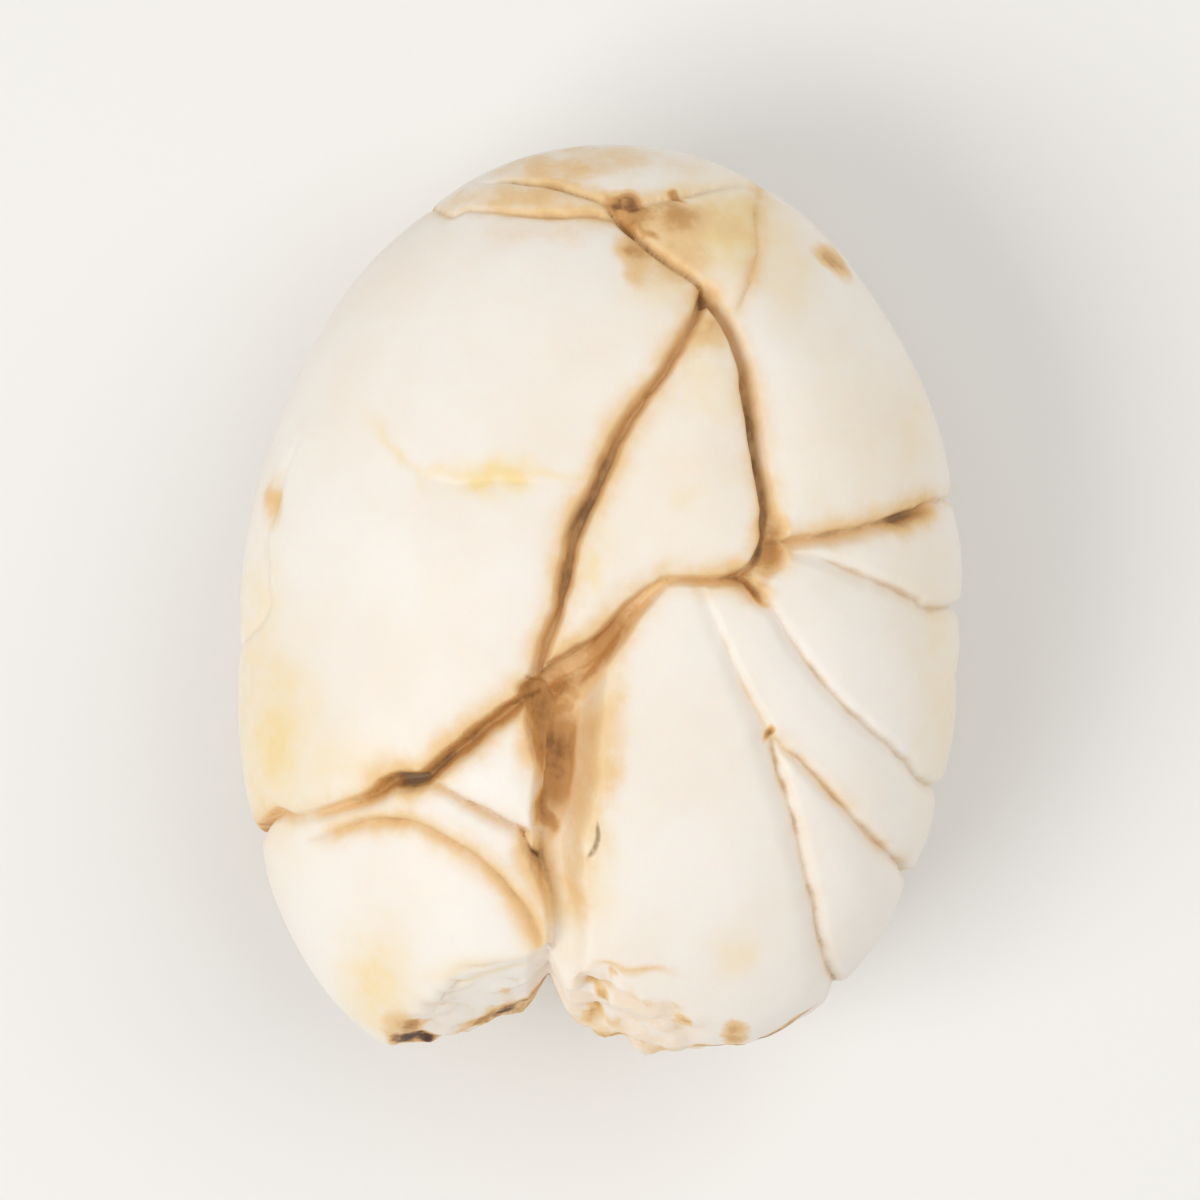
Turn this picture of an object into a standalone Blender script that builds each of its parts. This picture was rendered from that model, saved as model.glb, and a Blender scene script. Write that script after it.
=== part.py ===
"""A peeled macambo seed, a plump oval kernel whose folded seed leaves meet in deep creases.

The seed lies on its broad side. Its long axis runs along Y, its torn root end faces -Y, and
the origin lies in its resting spot, under the middle of its box. The scene is in metres. The numbers that
shape the seed are in millimetres, and its creases are routed as seen from above.
"""

import math
from dataclasses import dataclass

import bmesh
import bpy
import numpy as np
from mathutils import Vector, noise

MM = 0.001
NOISE_SEED = 12  # the same wobbles at every build

# Driving dimensions of the smooth body
HALF_WIDTH = 11.2
HALF_THICKNESS = 7.7
CROWN_LENGTH = 14.0  # from the middle to the closed end
ROOT_LENGTH = 15.6  # from the middle to where the root tip was, before it tore off
CROWN_POWER = 2.05  # 2 gives an ellipse
ROOT_POWER = 2.3  # the root end is fuller
FLANK_POWER = 2.15
EGG = 0.0032  # how much the closed end narrows, per millimetre of length
LEAN = 0.036  # how far the closed end leans to +X, per millimetre of length
BEND = 0.00096  # how far both ends bend back to -X, per square millimetre

# The torn root end: how far it reaches towards -Y at each place across it
TEAR_ACROSS = (-9.0, -6.6, -4.4, -2.3, -1.65, -1.1, -0.3, 1.6, 4.3, 5.8, 7.6)
TEAR_REACH = (13.3, 14.0, 13.6, 12.8, 11.7, 12.9, 13.5, 14.1, 13.95, 13.3, 12.3)
TEAR_SLOPES = (0.2, 0.32, 0.5, 0.36, 0.2, 0.3, 0.5, 0.42, 0.2, 0.14, 0.1)  # back, upwards
TEAR_SLOPE_FROM = 1.2
TEAR_UNDERCUT = 0.16
TERRACE_RISE = 0.46  # the torn layers end in terraces
TERRACE_DEPTH = 0.17
TERRACE_SIDE = -1.6  # they show on this side of the end
LUMP_SIZE = 0.85  # crumbly lumps on the other side
LUMP_DEPTH = 0.42
LUMP_MIDDLE = 0.6
LUMP_REACH = 2.3
PIT_CENTRE = (1.0, -1.2)
PIT_RADIUS = 1.3
PIT_DEPTH = 1.4
TEAR_ROUNDING = 0.12

# How the lobes swell between their creases
PILLOW_REACH = 2.4
PILLOW_DEPTH = 0.3
STEP_REACH = 1.7
STEP_BLEND = 0.12
STEP_FADE = 0.35  # a step fades over this length past a crease's end
WOBBLE = 0.12
SWELL = 0.13
SKIN = 0.14  # each wall is this much wider than the real one, for the solid's coarser skin

REST_DEPTH = 0.14  # how far the resting spot is worn into the lowest lobe
GRID = 108  # cuts along each side of the sculpting grid
KEPT_TRIANGLES = 11000

SEED_COLOUR = (0.86, 0.76, 0.60, 1.0)
SEED_ROUGHNESS = 0.5


def upper(x, y, share=1.0):
    """A waypoint on the upper face, and the share of the crease's depth there."""
    return (x, y, 1.0, share)


def under(x, y, share=1.0):
    """A waypoint on the underside, placed as if seen through from above."""
    return (x, y, -1.0, share)


@dataclass(frozen=True)
class Crease:
    """One fold line. Left and right are those of someone who walks along the route."""

    route: tuple
    depth: float
    left: float = 0.3  # width of the wall on each side
    right: float = 0.3
    floor: float = 0.0  # half the width of a flat floor
    step: float = 0.0  # how far the left side stands above the right one
    left_ramp: float = 0.0  # 0 for a wall that rolls in, 1 for an open slope
    right_ramp: float = 0.0


VALLEY_FORK = upper(-2.15, -3.05, 0.85)
FAN_HEAD = upper(5.35, 1.6)
CROWN_GAP = upper(3.2, 9.35)
UNDER_FORK = under(-4.1, 0.55)
UNDER_KNOT = under(0.7, -2.6)
UNDER_LEFT = under(-5.55, 4.4)
UNDER_TOP = under(3.1, 7.3)

CREASES = (
    # Between the large left lobe and the teardrop lobe
    Crease((CROWN_GAP, upper(3.0, 8.75, 0.85), upper(2.37, 7.7, 0.75), upper(1.58, 6.6, 0.8),
            upper(0.8, 5.35, 0.9), upper(0.25, 4.25), upper(-0.4, 3.0), upper(-0.95, 1.8),
            upper(-1.2, 0.6), upper(-1.4, -0.55, 0.95), upper(-1.75, -1.55, 0.85),
            upper(-2.05, -2.4, 0.85), VALLEY_FORK),
           depth=0.85, left=0.28, right=0.25, floor=0.1, step=-0.1, left_ramp=0.35),
    # Between the teardrop lobe and the long right lobe
    Crease((CROWN_GAP, upper(3.85, 8.4, 0.85), upper(4.25, 7.3, 0.9), upper(4.55, 5.75),
            upper(4.8, 4.35), upper(5.0, 3.0), upper(5.05, 2.0), upper(4.85, 1.1),
            upper(4.3, 0.5, 0.8)),
           depth=0.85, left=0.32, right=0.22, floor=0.09, step=0.05, left_ramp=0.45),
    # The hollow where the fan of narrow lobes starts
    Crease((upper(5.0, 2.9, 0.2), upper(5.15, 2.1, 0.7), upper(5.2, 1.4), upper(5.2, 0.7, 0.8),
            upper(5.35, 0.0, 0.2)),
           depth=0.7, left=0.35, right=0.3, floor=0.26),
    # Under the lower edge of the teardrop lobe
    Crease((upper(4.3, 0.5), upper(3.4, 0.45, 0.75), upper(2.5, 0.5, 0.65),
            upper(1.8, 0.42, 0.7), upper(1.35, 0.05, 0.6)),
           depth=0.6, left=0.35, right=0.2, floor=0.06, step=-0.12, left_ramp=0.5),
    # The gully from there to the valley
    Crease((upper(1.8, 0.38, 0.3), upper(1.25, -0.05, 0.6), upper(0.65, -0.65, 0.8),
            upper(0.15, -1.3, 0.95), upper(-0.35, -2.0), upper(-0.85, -2.8),
            upper(-1.2, -3.5, 0.6)),
           depth=0.95, left=0.42, right=0.22, floor=0.2, left_ramp=0.8),
    # The open valley down to the root end
    Crease((upper(-0.4, -2.0, 0.2), upper(-0.8, -2.8, 0.6), upper(-1.15, -3.6, 0.9),
            upper(-1.4, -4.4), upper(-1.5, -5.5), upper(-1.62, -6.5, 0.95),
            upper(-1.68, -7.4, 0.8), upper(-1.58, -8.5, 0.65), upper(-1.4, -9.6, 0.55),
            upper(-1.3, -10.6, 0.5), upper(-1.36, -11.5, 0.5), upper(-1.55, -12.4, 0.5),
            under(-1.5, -12.6, 0.6), under(-0.6, -12.0, 0.5)),
           depth=1.4, left=1.05, right=0.28, floor=0.42, left_ramp=1.0),
    # The gap between the valley and the rolled rim of the left end lobe
    Crease((upper(-2.7, -7.15, 0.4), upper(-2.35, -7.65, 0.8), upper(-2.0, -8.35),
            upper(-1.72, -9.15, 0.8), upper(-1.56, -10.0, 0.5), upper(-1.45, -10.8, 0.2)),
           depth=0.8, left=0.2, right=0.15, floor=0.06),
    # The short crack beside the valley
    Crease((upper(-0.16, -6.7, 0.0), upper(-0.13, -7.2, 0.9), upper(-0.2, -7.7),
            upper(-0.42, -8.15, 0.0)),
           depth=0.1, left=0.12, right=0.12),
    # Lower edge of the large left lobe, carried over the flank to the underside
    Crease((VALLEY_FORK, upper(-2.9, -3.5, 0.9), upper(-3.75, -4.15), upper(-4.93, -5.1),
            upper(-5.5, -5.58), upper(-6.5, -5.7), upper(-7.15, -6.15, 0.8),
            upper(-8.3, -6.6, 0.65), upper(-9.5, -6.8, 0.6), upper(-10.5, -6.85, 0.7),
            under(-9.7, -7.5, 0.9), under(-8.0, -8.6), under(-5.6, -9.3)),
           depth=0.6, left=0.5, right=0.25, floor=0.07, step=-0.12, left_ramp=0.5),
    Crease((upper(-5.1, -5.4, 0.2), upper(-5.6, -5.62), upper(-6.3, -5.7),
            upper(-6.9, -5.95, 0.2)),
           depth=0.75, left=0.2, right=0.18, floor=0.13),
    # Lower edge of the small triangular lobe
    Crease((upper(-5.4, -5.65, 0.9), upper(-4.6, -6.1), upper(-3.9, -6.5),
            upper(-2.9, -7.05), upper(-2.0, -7.55)),
           depth=0.42, left=0.22, right=0.32, floor=0.03, step=0.06, right_ramp=0.4),
    # Rolled rim of the left end lobe
    Crease((upper(-9.6, -7.7, 0.0), upper(-8.2, -7.3, 0.8), upper(-7.0, -6.95),
            upper(-5.8, -7.0), upper(-4.95, -7.4), upper(-4.0, -7.9), upper(-3.2, -8.6),
            upper(-2.55, -9.5), upper(-2.13, -10.3), upper(-1.98, -10.9, 0.8),
            upper(-2.0, -11.5, 0.3)),
           depth=0.28, left=0.22, right=0.4, step=0.1, right_ramp=0.3),
    # The fan of narrow lobes on the right, each lapping the next
    Crease((FAN_HEAD, upper(6.2, 1.78), upper(7.0, 1.86), upper(7.9, 2.0), upper(9.0, 2.35),
            upper(9.9, 2.65, 0.9), upper(10.5, 2.9, 0.6), under(9.9, 3.2, 0.8),
            under(8.4, 4.0), under(6.0, 5.6), UNDER_TOP),
           depth=0.42, left=0.2, right=0.5, floor=0.04, step=0.12, right_ramp=0.5),
    Crease((upper(7.8, 1.98, 0.1), upper(8.7, 2.25, 0.6), upper(9.5, 2.5), upper(10.2, 2.78, 0.8),
            upper(10.7, 3.0, 0.2)),
           depth=0.5, left=0.16, right=0.3, floor=0.1, right_ramp=0.5),
    Crease((upper(5.9, 1.35, 0.3), upper(6.9, 1.05, 0.7), upper(7.7, 0.78), upper(8.5, 0.48),
            upper(9.3, 0.12), upper(9.9, -0.18), upper(10.5, -0.42), under(10.2, -0.1),
            under(7.8, -0.8, 0.8), under(5.3, -2.2)),
           depth=0.28, left=0.3, right=0.55, floor=0.03, step=0.1, right_ramp=0.6),
    Crease((upper(4.6, 0.65, 0.8), upper(4.95, 0.2), upper(5.35, -0.45), upper(5.95, -1.4),
            upper(7.1, -2.9), upper(8.3, -4.1), upper(9.45, -5.1), upper(10.2, -5.8),
            under(9.7, -5.2), under(8.6, -4.2)),
           depth=0.28, left=0.3, right=0.5, floor=0.03, step=0.08, right_ramp=0.5),
    Crease((upper(5.13, -4.32), upper(5.6, -4.75), upper(6.15, -5.15), upper(7.1, -6.1),
            upper(8.3, -7.3), upper(9.2, -8.2), under(8.8, -8.0), under(7.6, -6.6),
            under(6.4, -5.3)),
           depth=0.28, left=0.28, right=0.45, floor=0.03, step=0.08, right_ramp=0.45),
    Crease((upper(3.3, 0.1, 0.2), upper(3.7, -0.8, 0.4), upper(4.15, -1.75, 0.55),
            upper(4.7, -3.3, 0.8), upper(5.13, -4.32), upper(5.5, -5.7), upper(6.05, -7.5),
            upper(6.65, -9.6), upper(7.0, -11.1), under(6.2, -11.4), under(3.4, -11.6),
            under(0.6, -11.2)),
           depth=0.28, left=0.3, right=0.8, floor=0.03, step=0.02, right_ramp=0.5),
    # Folds that wrap the closed end
    Crease((upper(0.3, 11.9, 0.8), upper(0.95, 11.3), upper(1.6, 10.75), upper(2.3, 10.25),
            upper(3.0, 9.75), CROWN_GAP),
           depth=0.42, left=0.18, right=0.35, floor=0.02, step=0.12, right_ramp=0.4),
    Crease((upper(4.1, 8.5, 0.5), upper(4.45, 9.4, 0.7), upper(4.75, 10.5, 0.8),
            upper(4.8, 11.8, 0.8), under(4.7, 12.2, 0.8), under(4.9, 10.0),
            under(4.6, 8.0), UNDER_TOP),
           depth=0.16, left=0.25, right=0.25),
    Crease((upper(0.6, 11.75, 0.8), upper(-0.2, 11.8, 0.8), upper(-1.4, 11.8, 0.8),
            upper(-2.4, 11.85, 0.7), upper(-3.4, 11.93, 0.6), upper(-4.2, 11.95, 0.5),
            upper(-4.9, 11.85, 0.5), under(-5.4, 11.4, 0.5), under(-6.1, 10.8, 0.8),
            under(-6.9, 10.0),
            under(-7.6, 8.8), under(-6.9, 7.1), UNDER_LEFT),
           depth=0.3, left=0.4, right=0.18, step=-0.1, left_ramp=0.5),
    Crease((upper(0.5, 12.05, 0.6), upper(-0.4, 12.35, 0.7), upper(-1.3, 12.7, 0.8),
            upper(-2.3, 12.85, 0.7), upper(-3.1, 12.85, 0.5), upper(-3.8, 12.75, 0.2),
            under(-4.4, 12.4, 0.0)),
           depth=0.28, left=0.4, right=0.18, step=-0.08, left_ramp=0.5),
    Crease((under(-3.6, 11.6, 0.0), under(-2.4, 11.4, 0.8), under(-0.9, 10.8),
            under(0.2, 9.2), under(1.0, 7.1)),
           depth=0.28, left=0.4, right=0.2, step=-0.08, left_ramp=0.5),
    Crease((upper(0.9, 12.0, 0.8), upper(2.0, 12.3, 0.7), upper(3.4, 12.6, 0.6),
            upper(4.6, 12.6, 0.3)),
           depth=0.28, left=0.18, right=0.4, step=0.1, right_ramp=0.4),
    # Faint folds on the large left lobe
    Crease((upper(-7.2, 5.1, 0.0), upper(-6.1, 4.2, 0.6), upper(-5.0, 3.45),
            upper(-3.2, 3.45), upper(-1.7, 3.4, 0.9), upper(-0.6, 3.5, 0.4)),
           depth=0.06, left=0.7, right=0.7, step=0.04),
    Crease((upper(-9.2, 5.0, 0.0), upper(-9.75, 3.9, 0.8), upper(-10.0, 2.9),
            upper(-10.3, 1.9, 0.7), upper(-10.3, 0.6, 0.5), upper(-10.6, -0.9, 0.6),
            under(-10.5, -2.6, 0.7), under(-9.5, -4.4), under(-8.1, -6.0)),
           depth=0.18, left=0.4, right=0.7, step=0.02, right_ramp=0.7),
    # Underside
    Crease((UNDER_LEFT, under(-5.85, 3.2), under(-5.3, 1.9), UNDER_FORK),
           depth=0.66, left=0.4, right=0.3, floor=0.05, step=0.08, left_ramp=0.3),
    Crease((UNDER_LEFT, under(-4.4, 5.3), under(-2.5, 6.2), under(-0.7, 6.8),
            under(1.0, 7.1), UNDER_TOP),
           depth=0.55, left=0.25, right=0.45, floor=0.04, step=-0.08, right_ramp=0.4),
    Crease((UNDER_FORK, under(-5.0, -1.2), under(-6.3, -3.0, 0.8), under(-7.6, -4.7),
            under(-8.1, -6.0), under(-8.3, -8.4)),
           depth=0.5, left=0.25, right=0.45, floor=0.04, step=0.08, right_ramp=0.4),
    Crease((UNDER_FORK, under(-4.4, -2.3), under(-5.1, -4.9), under(-5.3, -7.3, 0.8),
            under(-5.6, -9.3), under(-4.6, -11.6, 0.9), upper(-4.4, -12.9, 0.0)),
           depth=0.5, left=0.45, right=0.25, floor=0.04, left_ramp=0.4),
    Crease((UNDER_FORK, under(-2.6, -0.1), under(-0.9, -1.2), UNDER_KNOT),
           depth=0.8, left=0.4, right=0.3, floor=0.14, step=0.05, left_ramp=0.4),
    Crease((UNDER_KNOT, under(0.4, -4.9), under(0.6, -7.7), under(0.4, -10.1),
            under(-0.6, -12.0, 0.7)),
           depth=0.85, left=0.3, right=0.6, floor=0.14, right_ramp=0.6),
    Crease((UNDER_KNOT, under(2.3, -2.5), under(3.8, -2.3, 0.8), under(5.6, -2.2)),
           depth=0.55, left=0.4, right=0.25, floor=0.04, step=0.06, left_ramp=0.4),
    Crease((under(0.7, -8.3), under(2.5, -7.1), under(4.3, -6.2, 0.8),
            under(6.4, -5.3), under(8.6, -4.2), under(10.4, -2.9),
            upper(10.9, -2.4, 0.0)),
           depth=0.5, left=0.3, right=0.45, floor=0.04, step=0.07, right_ramp=0.4),
)


def clear_scene():
    """Removes every object of the scene."""
    for existing in list(bpy.data.objects):
        bpy.data.objects.remove(existing, do_unlink=True)


def unit(vectors):
    """These vectors at length one."""
    return vectors / np.linalg.norm(vectors, axis=1)[:, None]


def smooth_share(share):
    """Eases a share in and out between 0 and 1."""
    share = np.clip(share, 0.0, 1.0)
    return share * share * (3 - 2 * share)


def onto_oval(directions):
    """Points of the oval body in these directions, before it leans."""
    towards_crown = smooth_share(0.5 + 1.1 * directions[:, 1])
    power = ROOT_POWER + (CROWN_POWER - ROOT_POWER) * towards_crown
    length = np.where(directions[:, 1] > 0, CROWN_LENGTH, ROOT_LENGTH)
    across = np.abs(directions[:, 0] / HALF_WIDTH) ** FLANK_POWER
    upward = np.abs(directions[:, 2] / HALF_THICKNESS) ** FLANK_POWER
    along = np.abs(directions[:, 1] / length) ** power
    radius = ((across + upward) ** (power / FLANK_POWER) + along) ** (-1.0 / power)
    return directions * radius[:, None]


def lean(points):
    """Narrows the closed end, leans it over and bends it back a little."""
    leaned = points.copy()
    shift = LEAN * points[:, 1] - BEND * points[:, 1] ** 2
    leaned[:, 0] = points[:, 0] * (1.0 - EGG * points[:, 1]) + shift
    return leaned


def straighten(points):
    """Undoes lean()."""
    straight = points.copy()
    shift = LEAN * points[:, 1] - BEND * points[:, 1] ** 2
    straight[:, 0] = (points[:, 0] - shift) / (1.0 - EGG * points[:, 1])
    return straight


def onto_body(directions):
    """Points and outward normals of the body in these directions."""
    points = lean(onto_oval(directions))
    sideways = np.where(np.abs(directions[:, :1]) < 0.9, [[1.0, 0.0, 0.0]], [[0.0, 1.0, 0.0]])
    first = unit(np.cross(directions, sideways))
    second = np.cross(directions, first)
    nudge = 1e-3
    first_edge = lean(onto_oval(unit(directions + nudge * first))) - points
    second_edge = lean(onto_oval(unit(directions + nudge * second))) - points
    return points, unit(np.cross(first_edge, second_edge))


def heading_of(waypoint):
    """Direction from the middle of the body to a waypoint."""
    x, y, face, _ = waypoint
    spot = straighten(np.array([[x, y, 0.0]]))
    low, high = 0.0, HALF_THICKNESS
    for _ in range(40):
        spot[0, 2] = 0.5 * (low + high)
        if np.linalg.norm(onto_oval(unit(spot))) > np.linalg.norm(spot):
            low = spot[0, 2]
        else:
            high = spot[0, 2]
    return unit(spot * [[1.0, 1.0, face]])[0]


def spline(knots, per_leg=10):
    """A smooth curve through these knots."""
    knots = [2 * knots[0] - knots[1], *knots, 2 * knots[-1] - knots[-2]]
    curve = []
    for a, b, c, d in zip(knots, knots[1:], knots[2:], knots[3:]):
        for t in np.arange(per_leg) / per_leg:
            curve.append(0.5 * (2 * b + (c - a) * t + (2 * a - 5 * b + 4 * c - d) * t ** 2
                                + (3 * b - a - 3 * c + d) * t ** 3))
    curve.append(knots[-2])
    return np.array(curve)


class Beside:
    """How the points near one crease lie beside it."""

    REACH = 4.0

    def __init__(self, crease, points, normals):
        headings = [heading_of(waypoint) for waypoint in crease.route]
        line = lean(onto_oval(unit(spline(headings))))
        shares = np.clip(spline([np.array([w[3]]) for w in crease.route])[:, 0], 0.0, 1.2)
        boxed = (points > line.min(axis=0) - self.REACH) & (points < line.max(axis=0) + self.REACH)
        self.index = np.nonzero(boxed.all(axis=1))[0]
        points, normals = points[self.index], normals[self.index]
        squares = (points ** 2).sum(axis=1)[:, None] + (line ** 2).sum(axis=1) - 2 * points @ line.T
        nearest = squares.argmin(axis=1)
        tangents = unit(np.gradient(line, axis=0))[nearest]
        offset = points - line[nearest]
        along = (offset * tangents).sum(axis=1)
        last = len(line) - 1
        past_end = ((nearest == 0) & (along < 0)) | ((nearest == last) & (along > 0))
        offset -= np.where(past_end, 0.0, along)[:, None] * tangents
        self.beyond = np.where(past_end, np.abs(along), 0.0)
        self.offset = offset
        self.distance = np.linalg.norm(offset, axis=1)
        self.side = (np.cross(normals, tangents) * offset).sum(axis=1)
        leg = np.linalg.norm(np.gradient(line, axis=0), axis=1)
        growth = np.gradient(shares) / leg
        self.share = np.clip(shares[nearest] + growth[nearest] * np.where(past_end, 0, along), 0, 1.2)


def wandering(points, size, shift):
    """Smooth noise vectors at these points, with features of this size."""
    noise.seed_set(NOISE_SEED)
    return np.array([noise.noise_vector(Vector(p) / size + Vector((shift, 0, 0))) for p in points])


def gather_to_creases(points, normals):
    """Slides points of the body towards its creases, where the form turns sharply."""
    first = np.full(len(points), Beside.REACH)
    second = first.copy()
    offsets = np.zeros_like(points)
    for crease in CREASES:
        beside = Beside(crease, points, normals)
        index, distance = beside.index, beside.distance
        closer = distance < first[index]
        second[index] = np.where(closer, first[index], np.minimum(second[index], distance))
        offsets[index[closer]] = beside.offset[closer]
        first[index] = np.where(closer, distance, first[index])
    width = np.minimum(0.9, 0.3 * (first + second)) + 1e-6
    pull = 0.6 * np.exp(-((first / width) ** 2))
    return points - offsets * pull[:, None]


def wall_share(climb, ramp):
    """Share of the depth left at this climb of a wall, from 0 at its floor to 1 at its rim."""
    climb = np.clip(climb, 0.0, 1.0)
    rolled = 1.0 - np.sqrt(1.0 - (1.0 - climb) ** 2)
    slope = 1.0 - smooth_share(climb)
    return rolled + ramp * (slope - rolled)


def relief(points, normals):
    """How far the seed stands out from the body at each point."""
    wandered = points + WOBBLE * wandering(points, 2.6, 3.0)
    trench = np.zeros(len(points))
    pillow = np.zeros(len(points))
    steps = np.zeros(len(points))
    for crease in CREASES:
        beside = Beside(crease, wandered, normals)
        index, share = beside.index, beside.share
        on_left = beside.side > 0
        narrowing = 0.35 + 0.65 * share
        width = np.where(on_left, crease.left, crease.right) * narrowing + SKIN
        ramp = np.where(on_left, crease.left_ramp, crease.right_ramp)
        wall = wall_share((beside.distance - crease.floor * narrowing) / width, ramp)
        trench[index] = np.maximum(trench[index], crease.depth * share * wall)
        swell = np.clip(1.0 - beside.distance / PILLOW_REACH, 0.0, 1.0) ** 2
        depth = PILLOW_DEPTH * min(1.0, crease.depth / 0.5) * share
        pillow[index] = np.maximum(pillow[index], depth * swell)
        lap = np.tanh(beside.side / STEP_BLEND) * np.exp(-((beside.distance / STEP_REACH) ** 2))
        lap *= np.exp(-((beside.beyond / STEP_FADE) ** 2))
        steps[index] += 0.5 * crease.step * share * lap
    return steps + SWELL * wandering(points, 5.5, 11.0)[:, 0] - trench - pillow


def tear_off_root(points):
    """Cuts the root end back to its torn face, terraced on one side and crumbly on the other."""
    x, height = points[:, 0], points[:, 2]
    across = points * [[1.0, 0.0, 1.0]]
    ragged = wandering(across, 1.5, 23.0)
    lumps = wandering(across, LUMP_SIZE, 61.0)[:, 0]
    back = np.interp(x, TEAR_ACROSS, TEAR_SLOPES) * np.maximum(height - TEAR_SLOPE_FROM, 0.0)
    back = back + TEAR_UNDERCUT * np.maximum(-height - 1.0, 0.0)
    uncut = np.interp(x, TEAR_ACROSS, TEAR_REACH)
    phase = (uncut - back + 0.3 * ragged[:, 1]) / TERRACE_RISE
    ledge = phase - np.floor(phase)
    ledge = np.where(ledge < 0.8, ledge / 0.8, (1.0 - ledge) / 0.2)
    layered = 0.2 + 0.8 * smooth_share((TERRACE_SIDE - x) / 0.8)
    layered *= smooth_share(0.65 + 1.1 * ragged[:, 0])
    back = back + TERRACE_DEPTH * layered * ledge
    to_pit = np.hypot(x - PIT_CENTRE[0], height - PIT_CENTRE[1]) + 0.4 * ragged[:, 2]
    back = back + PIT_DEPTH * smooth_share(1.3 - to_pit / PIT_RADIUS)
    crumbly = np.exp(-(((x - LUMP_MIDDLE) / LUMP_REACH) ** 4))
    reach = uncut - back + 0.22 * ragged[:, 0] + LUMP_DEPTH * crumbly * lumps
    beyond = (points[:, 1] + reach) / TEAR_ROUNDING
    points[:, 1] = TEAR_ROUNDING * np.logaddexp(0.0, beyond) - reach


def sculpted_seed():
    """A closed grid moved onto the seed's creased surface, in millimetres."""
    mesh = bmesh.new()
    bmesh.ops.create_cube(mesh, size=2.0)
    bmesh.ops.subdivide_edges(mesh, edges=mesh.edges[:], cuts=GRID - 1, use_grid_fill=True)
    cube = np.array([vertex.co for vertex in mesh.verts])
    points, normals = onto_body(unit(np.tan(cube * math.pi / 4)))
    gathered = gather_to_creases(points, normals)
    points, normals = onto_body(unit(straighten(gathered)))
    points = points + normals * relief(points, normals)[:, None]
    tear_off_root(points)
    for vertex, point in zip(mesh.verts, points):
        vertex.co = point
    return mesh


def seed_material():
    """Matt cream seed flesh."""
    material = bpy.data.materials.new("seed_flesh")
    material.use_nodes = True
    surface = material.node_tree.nodes["Principled BSDF"]
    surface.inputs["Base Color"].default_value = SEED_COLOUR
    surface.inputs["Roughness"].default_value = SEED_ROUGHNESS
    surface.inputs["Metallic"].default_value = 0.0
    return material


def thin_out(seed):
    """Lowers the triangle count to the number that the solid keeps."""
    seed.data.calc_loop_triangles()
    modifier = seed.modifiers.new("thin", "DECIMATE")
    modifier.decimate_type = "COLLAPSE"
    modifier.use_collapse_triangulate = True
    modifier.ratio = KEPT_TRIANGLES / len(seed.data.loop_triangles)
    graph = bpy.context.evaluated_depsgraph_get()
    mesh = bpy.data.meshes.new_from_object(seed.evaluated_get(graph))
    seed.modifiers.clear()
    seed.data = mesh


def settle(seed):
    """Cuts the resting spot across the lowest lobe, and puts its middle under the seed's."""
    mesh = bmesh.new()
    mesh.from_mesh(seed.data)
    floor = min(vertex.co.z for vertex in mesh.verts) + REST_DEPTH
    cut = bmesh.ops.bisect_plane(
        mesh, geom=mesh.verts[:] + mesh.edges[:] + mesh.faces[:], dist=1e-5,
        plane_co=(0.0, 0.0, floor), plane_no=(0.0, 0.0, -1.0), clear_outer=True)
    rim = [item for item in cut["geom_cut"] if isinstance(item, bmesh.types.BMEdge)]
    bmesh.ops.edgenet_fill(mesh, edges=rim)
    corners = np.array([vertex.co for vertex in mesh.verts])
    middle = 0.5 * (corners.min(axis=0) + corners.max(axis=0))
    bmesh.ops.translate(mesh, verts=mesh.verts[:], vec=(-middle[0], -middle[1], -floor))
    bmesh.ops.scale(mesh, verts=mesh.verts[:], vec=(MM, MM, MM))
    bmesh.ops.recalc_face_normals(mesh, faces=mesh.faces[:])
    mesh.to_mesh(seed.data)
    mesh.free()


def build_seed():
    """Makes the seed in its own collection."""
    collection = bpy.data.collections.new("macambo_seed")
    bpy.context.scene.collection.children.link(collection)
    data = bpy.data.meshes.new("seed")
    sculpted = sculpted_seed()
    sculpted.to_mesh(data)
    sculpted.free()
    seed = bpy.data.objects.new("seed", data)
    collection.objects.link(seed)
    thin_out(seed)
    settle(seed)
    seed.data.materials.clear()
    seed.data.materials.append(seed_material())
    seed.data.shade_smooth()


clear_scene()
build_seed()
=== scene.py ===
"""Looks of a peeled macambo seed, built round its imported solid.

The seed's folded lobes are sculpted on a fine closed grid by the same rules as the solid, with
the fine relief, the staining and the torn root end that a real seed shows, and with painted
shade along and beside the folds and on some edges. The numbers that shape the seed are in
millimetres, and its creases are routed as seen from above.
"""

from __future__ import annotations

import logging
import math
from dataclasses import dataclass
from enum import Enum
from typing import Any, Sequence

import bmesh
import bpy
import numpy as np
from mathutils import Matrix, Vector, noise


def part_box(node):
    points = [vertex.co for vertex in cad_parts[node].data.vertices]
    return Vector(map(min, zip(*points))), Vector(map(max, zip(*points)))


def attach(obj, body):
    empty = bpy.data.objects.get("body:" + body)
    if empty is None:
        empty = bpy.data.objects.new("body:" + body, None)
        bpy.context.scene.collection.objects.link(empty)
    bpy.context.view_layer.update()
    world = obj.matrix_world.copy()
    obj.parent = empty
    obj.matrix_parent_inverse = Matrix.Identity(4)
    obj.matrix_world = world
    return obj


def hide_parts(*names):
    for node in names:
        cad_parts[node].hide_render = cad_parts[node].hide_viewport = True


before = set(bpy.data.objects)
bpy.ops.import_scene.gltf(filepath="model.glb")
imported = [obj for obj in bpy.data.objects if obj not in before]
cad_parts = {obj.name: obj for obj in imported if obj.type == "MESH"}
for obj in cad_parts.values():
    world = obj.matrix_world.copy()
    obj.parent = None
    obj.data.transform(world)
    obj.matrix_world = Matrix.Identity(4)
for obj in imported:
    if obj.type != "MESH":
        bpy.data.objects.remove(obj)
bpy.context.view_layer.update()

LOG = logging.getLogger("macambo_seed")
MM = 0.001
NOISE_SEED = 12
BISECTIONS = 40
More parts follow.
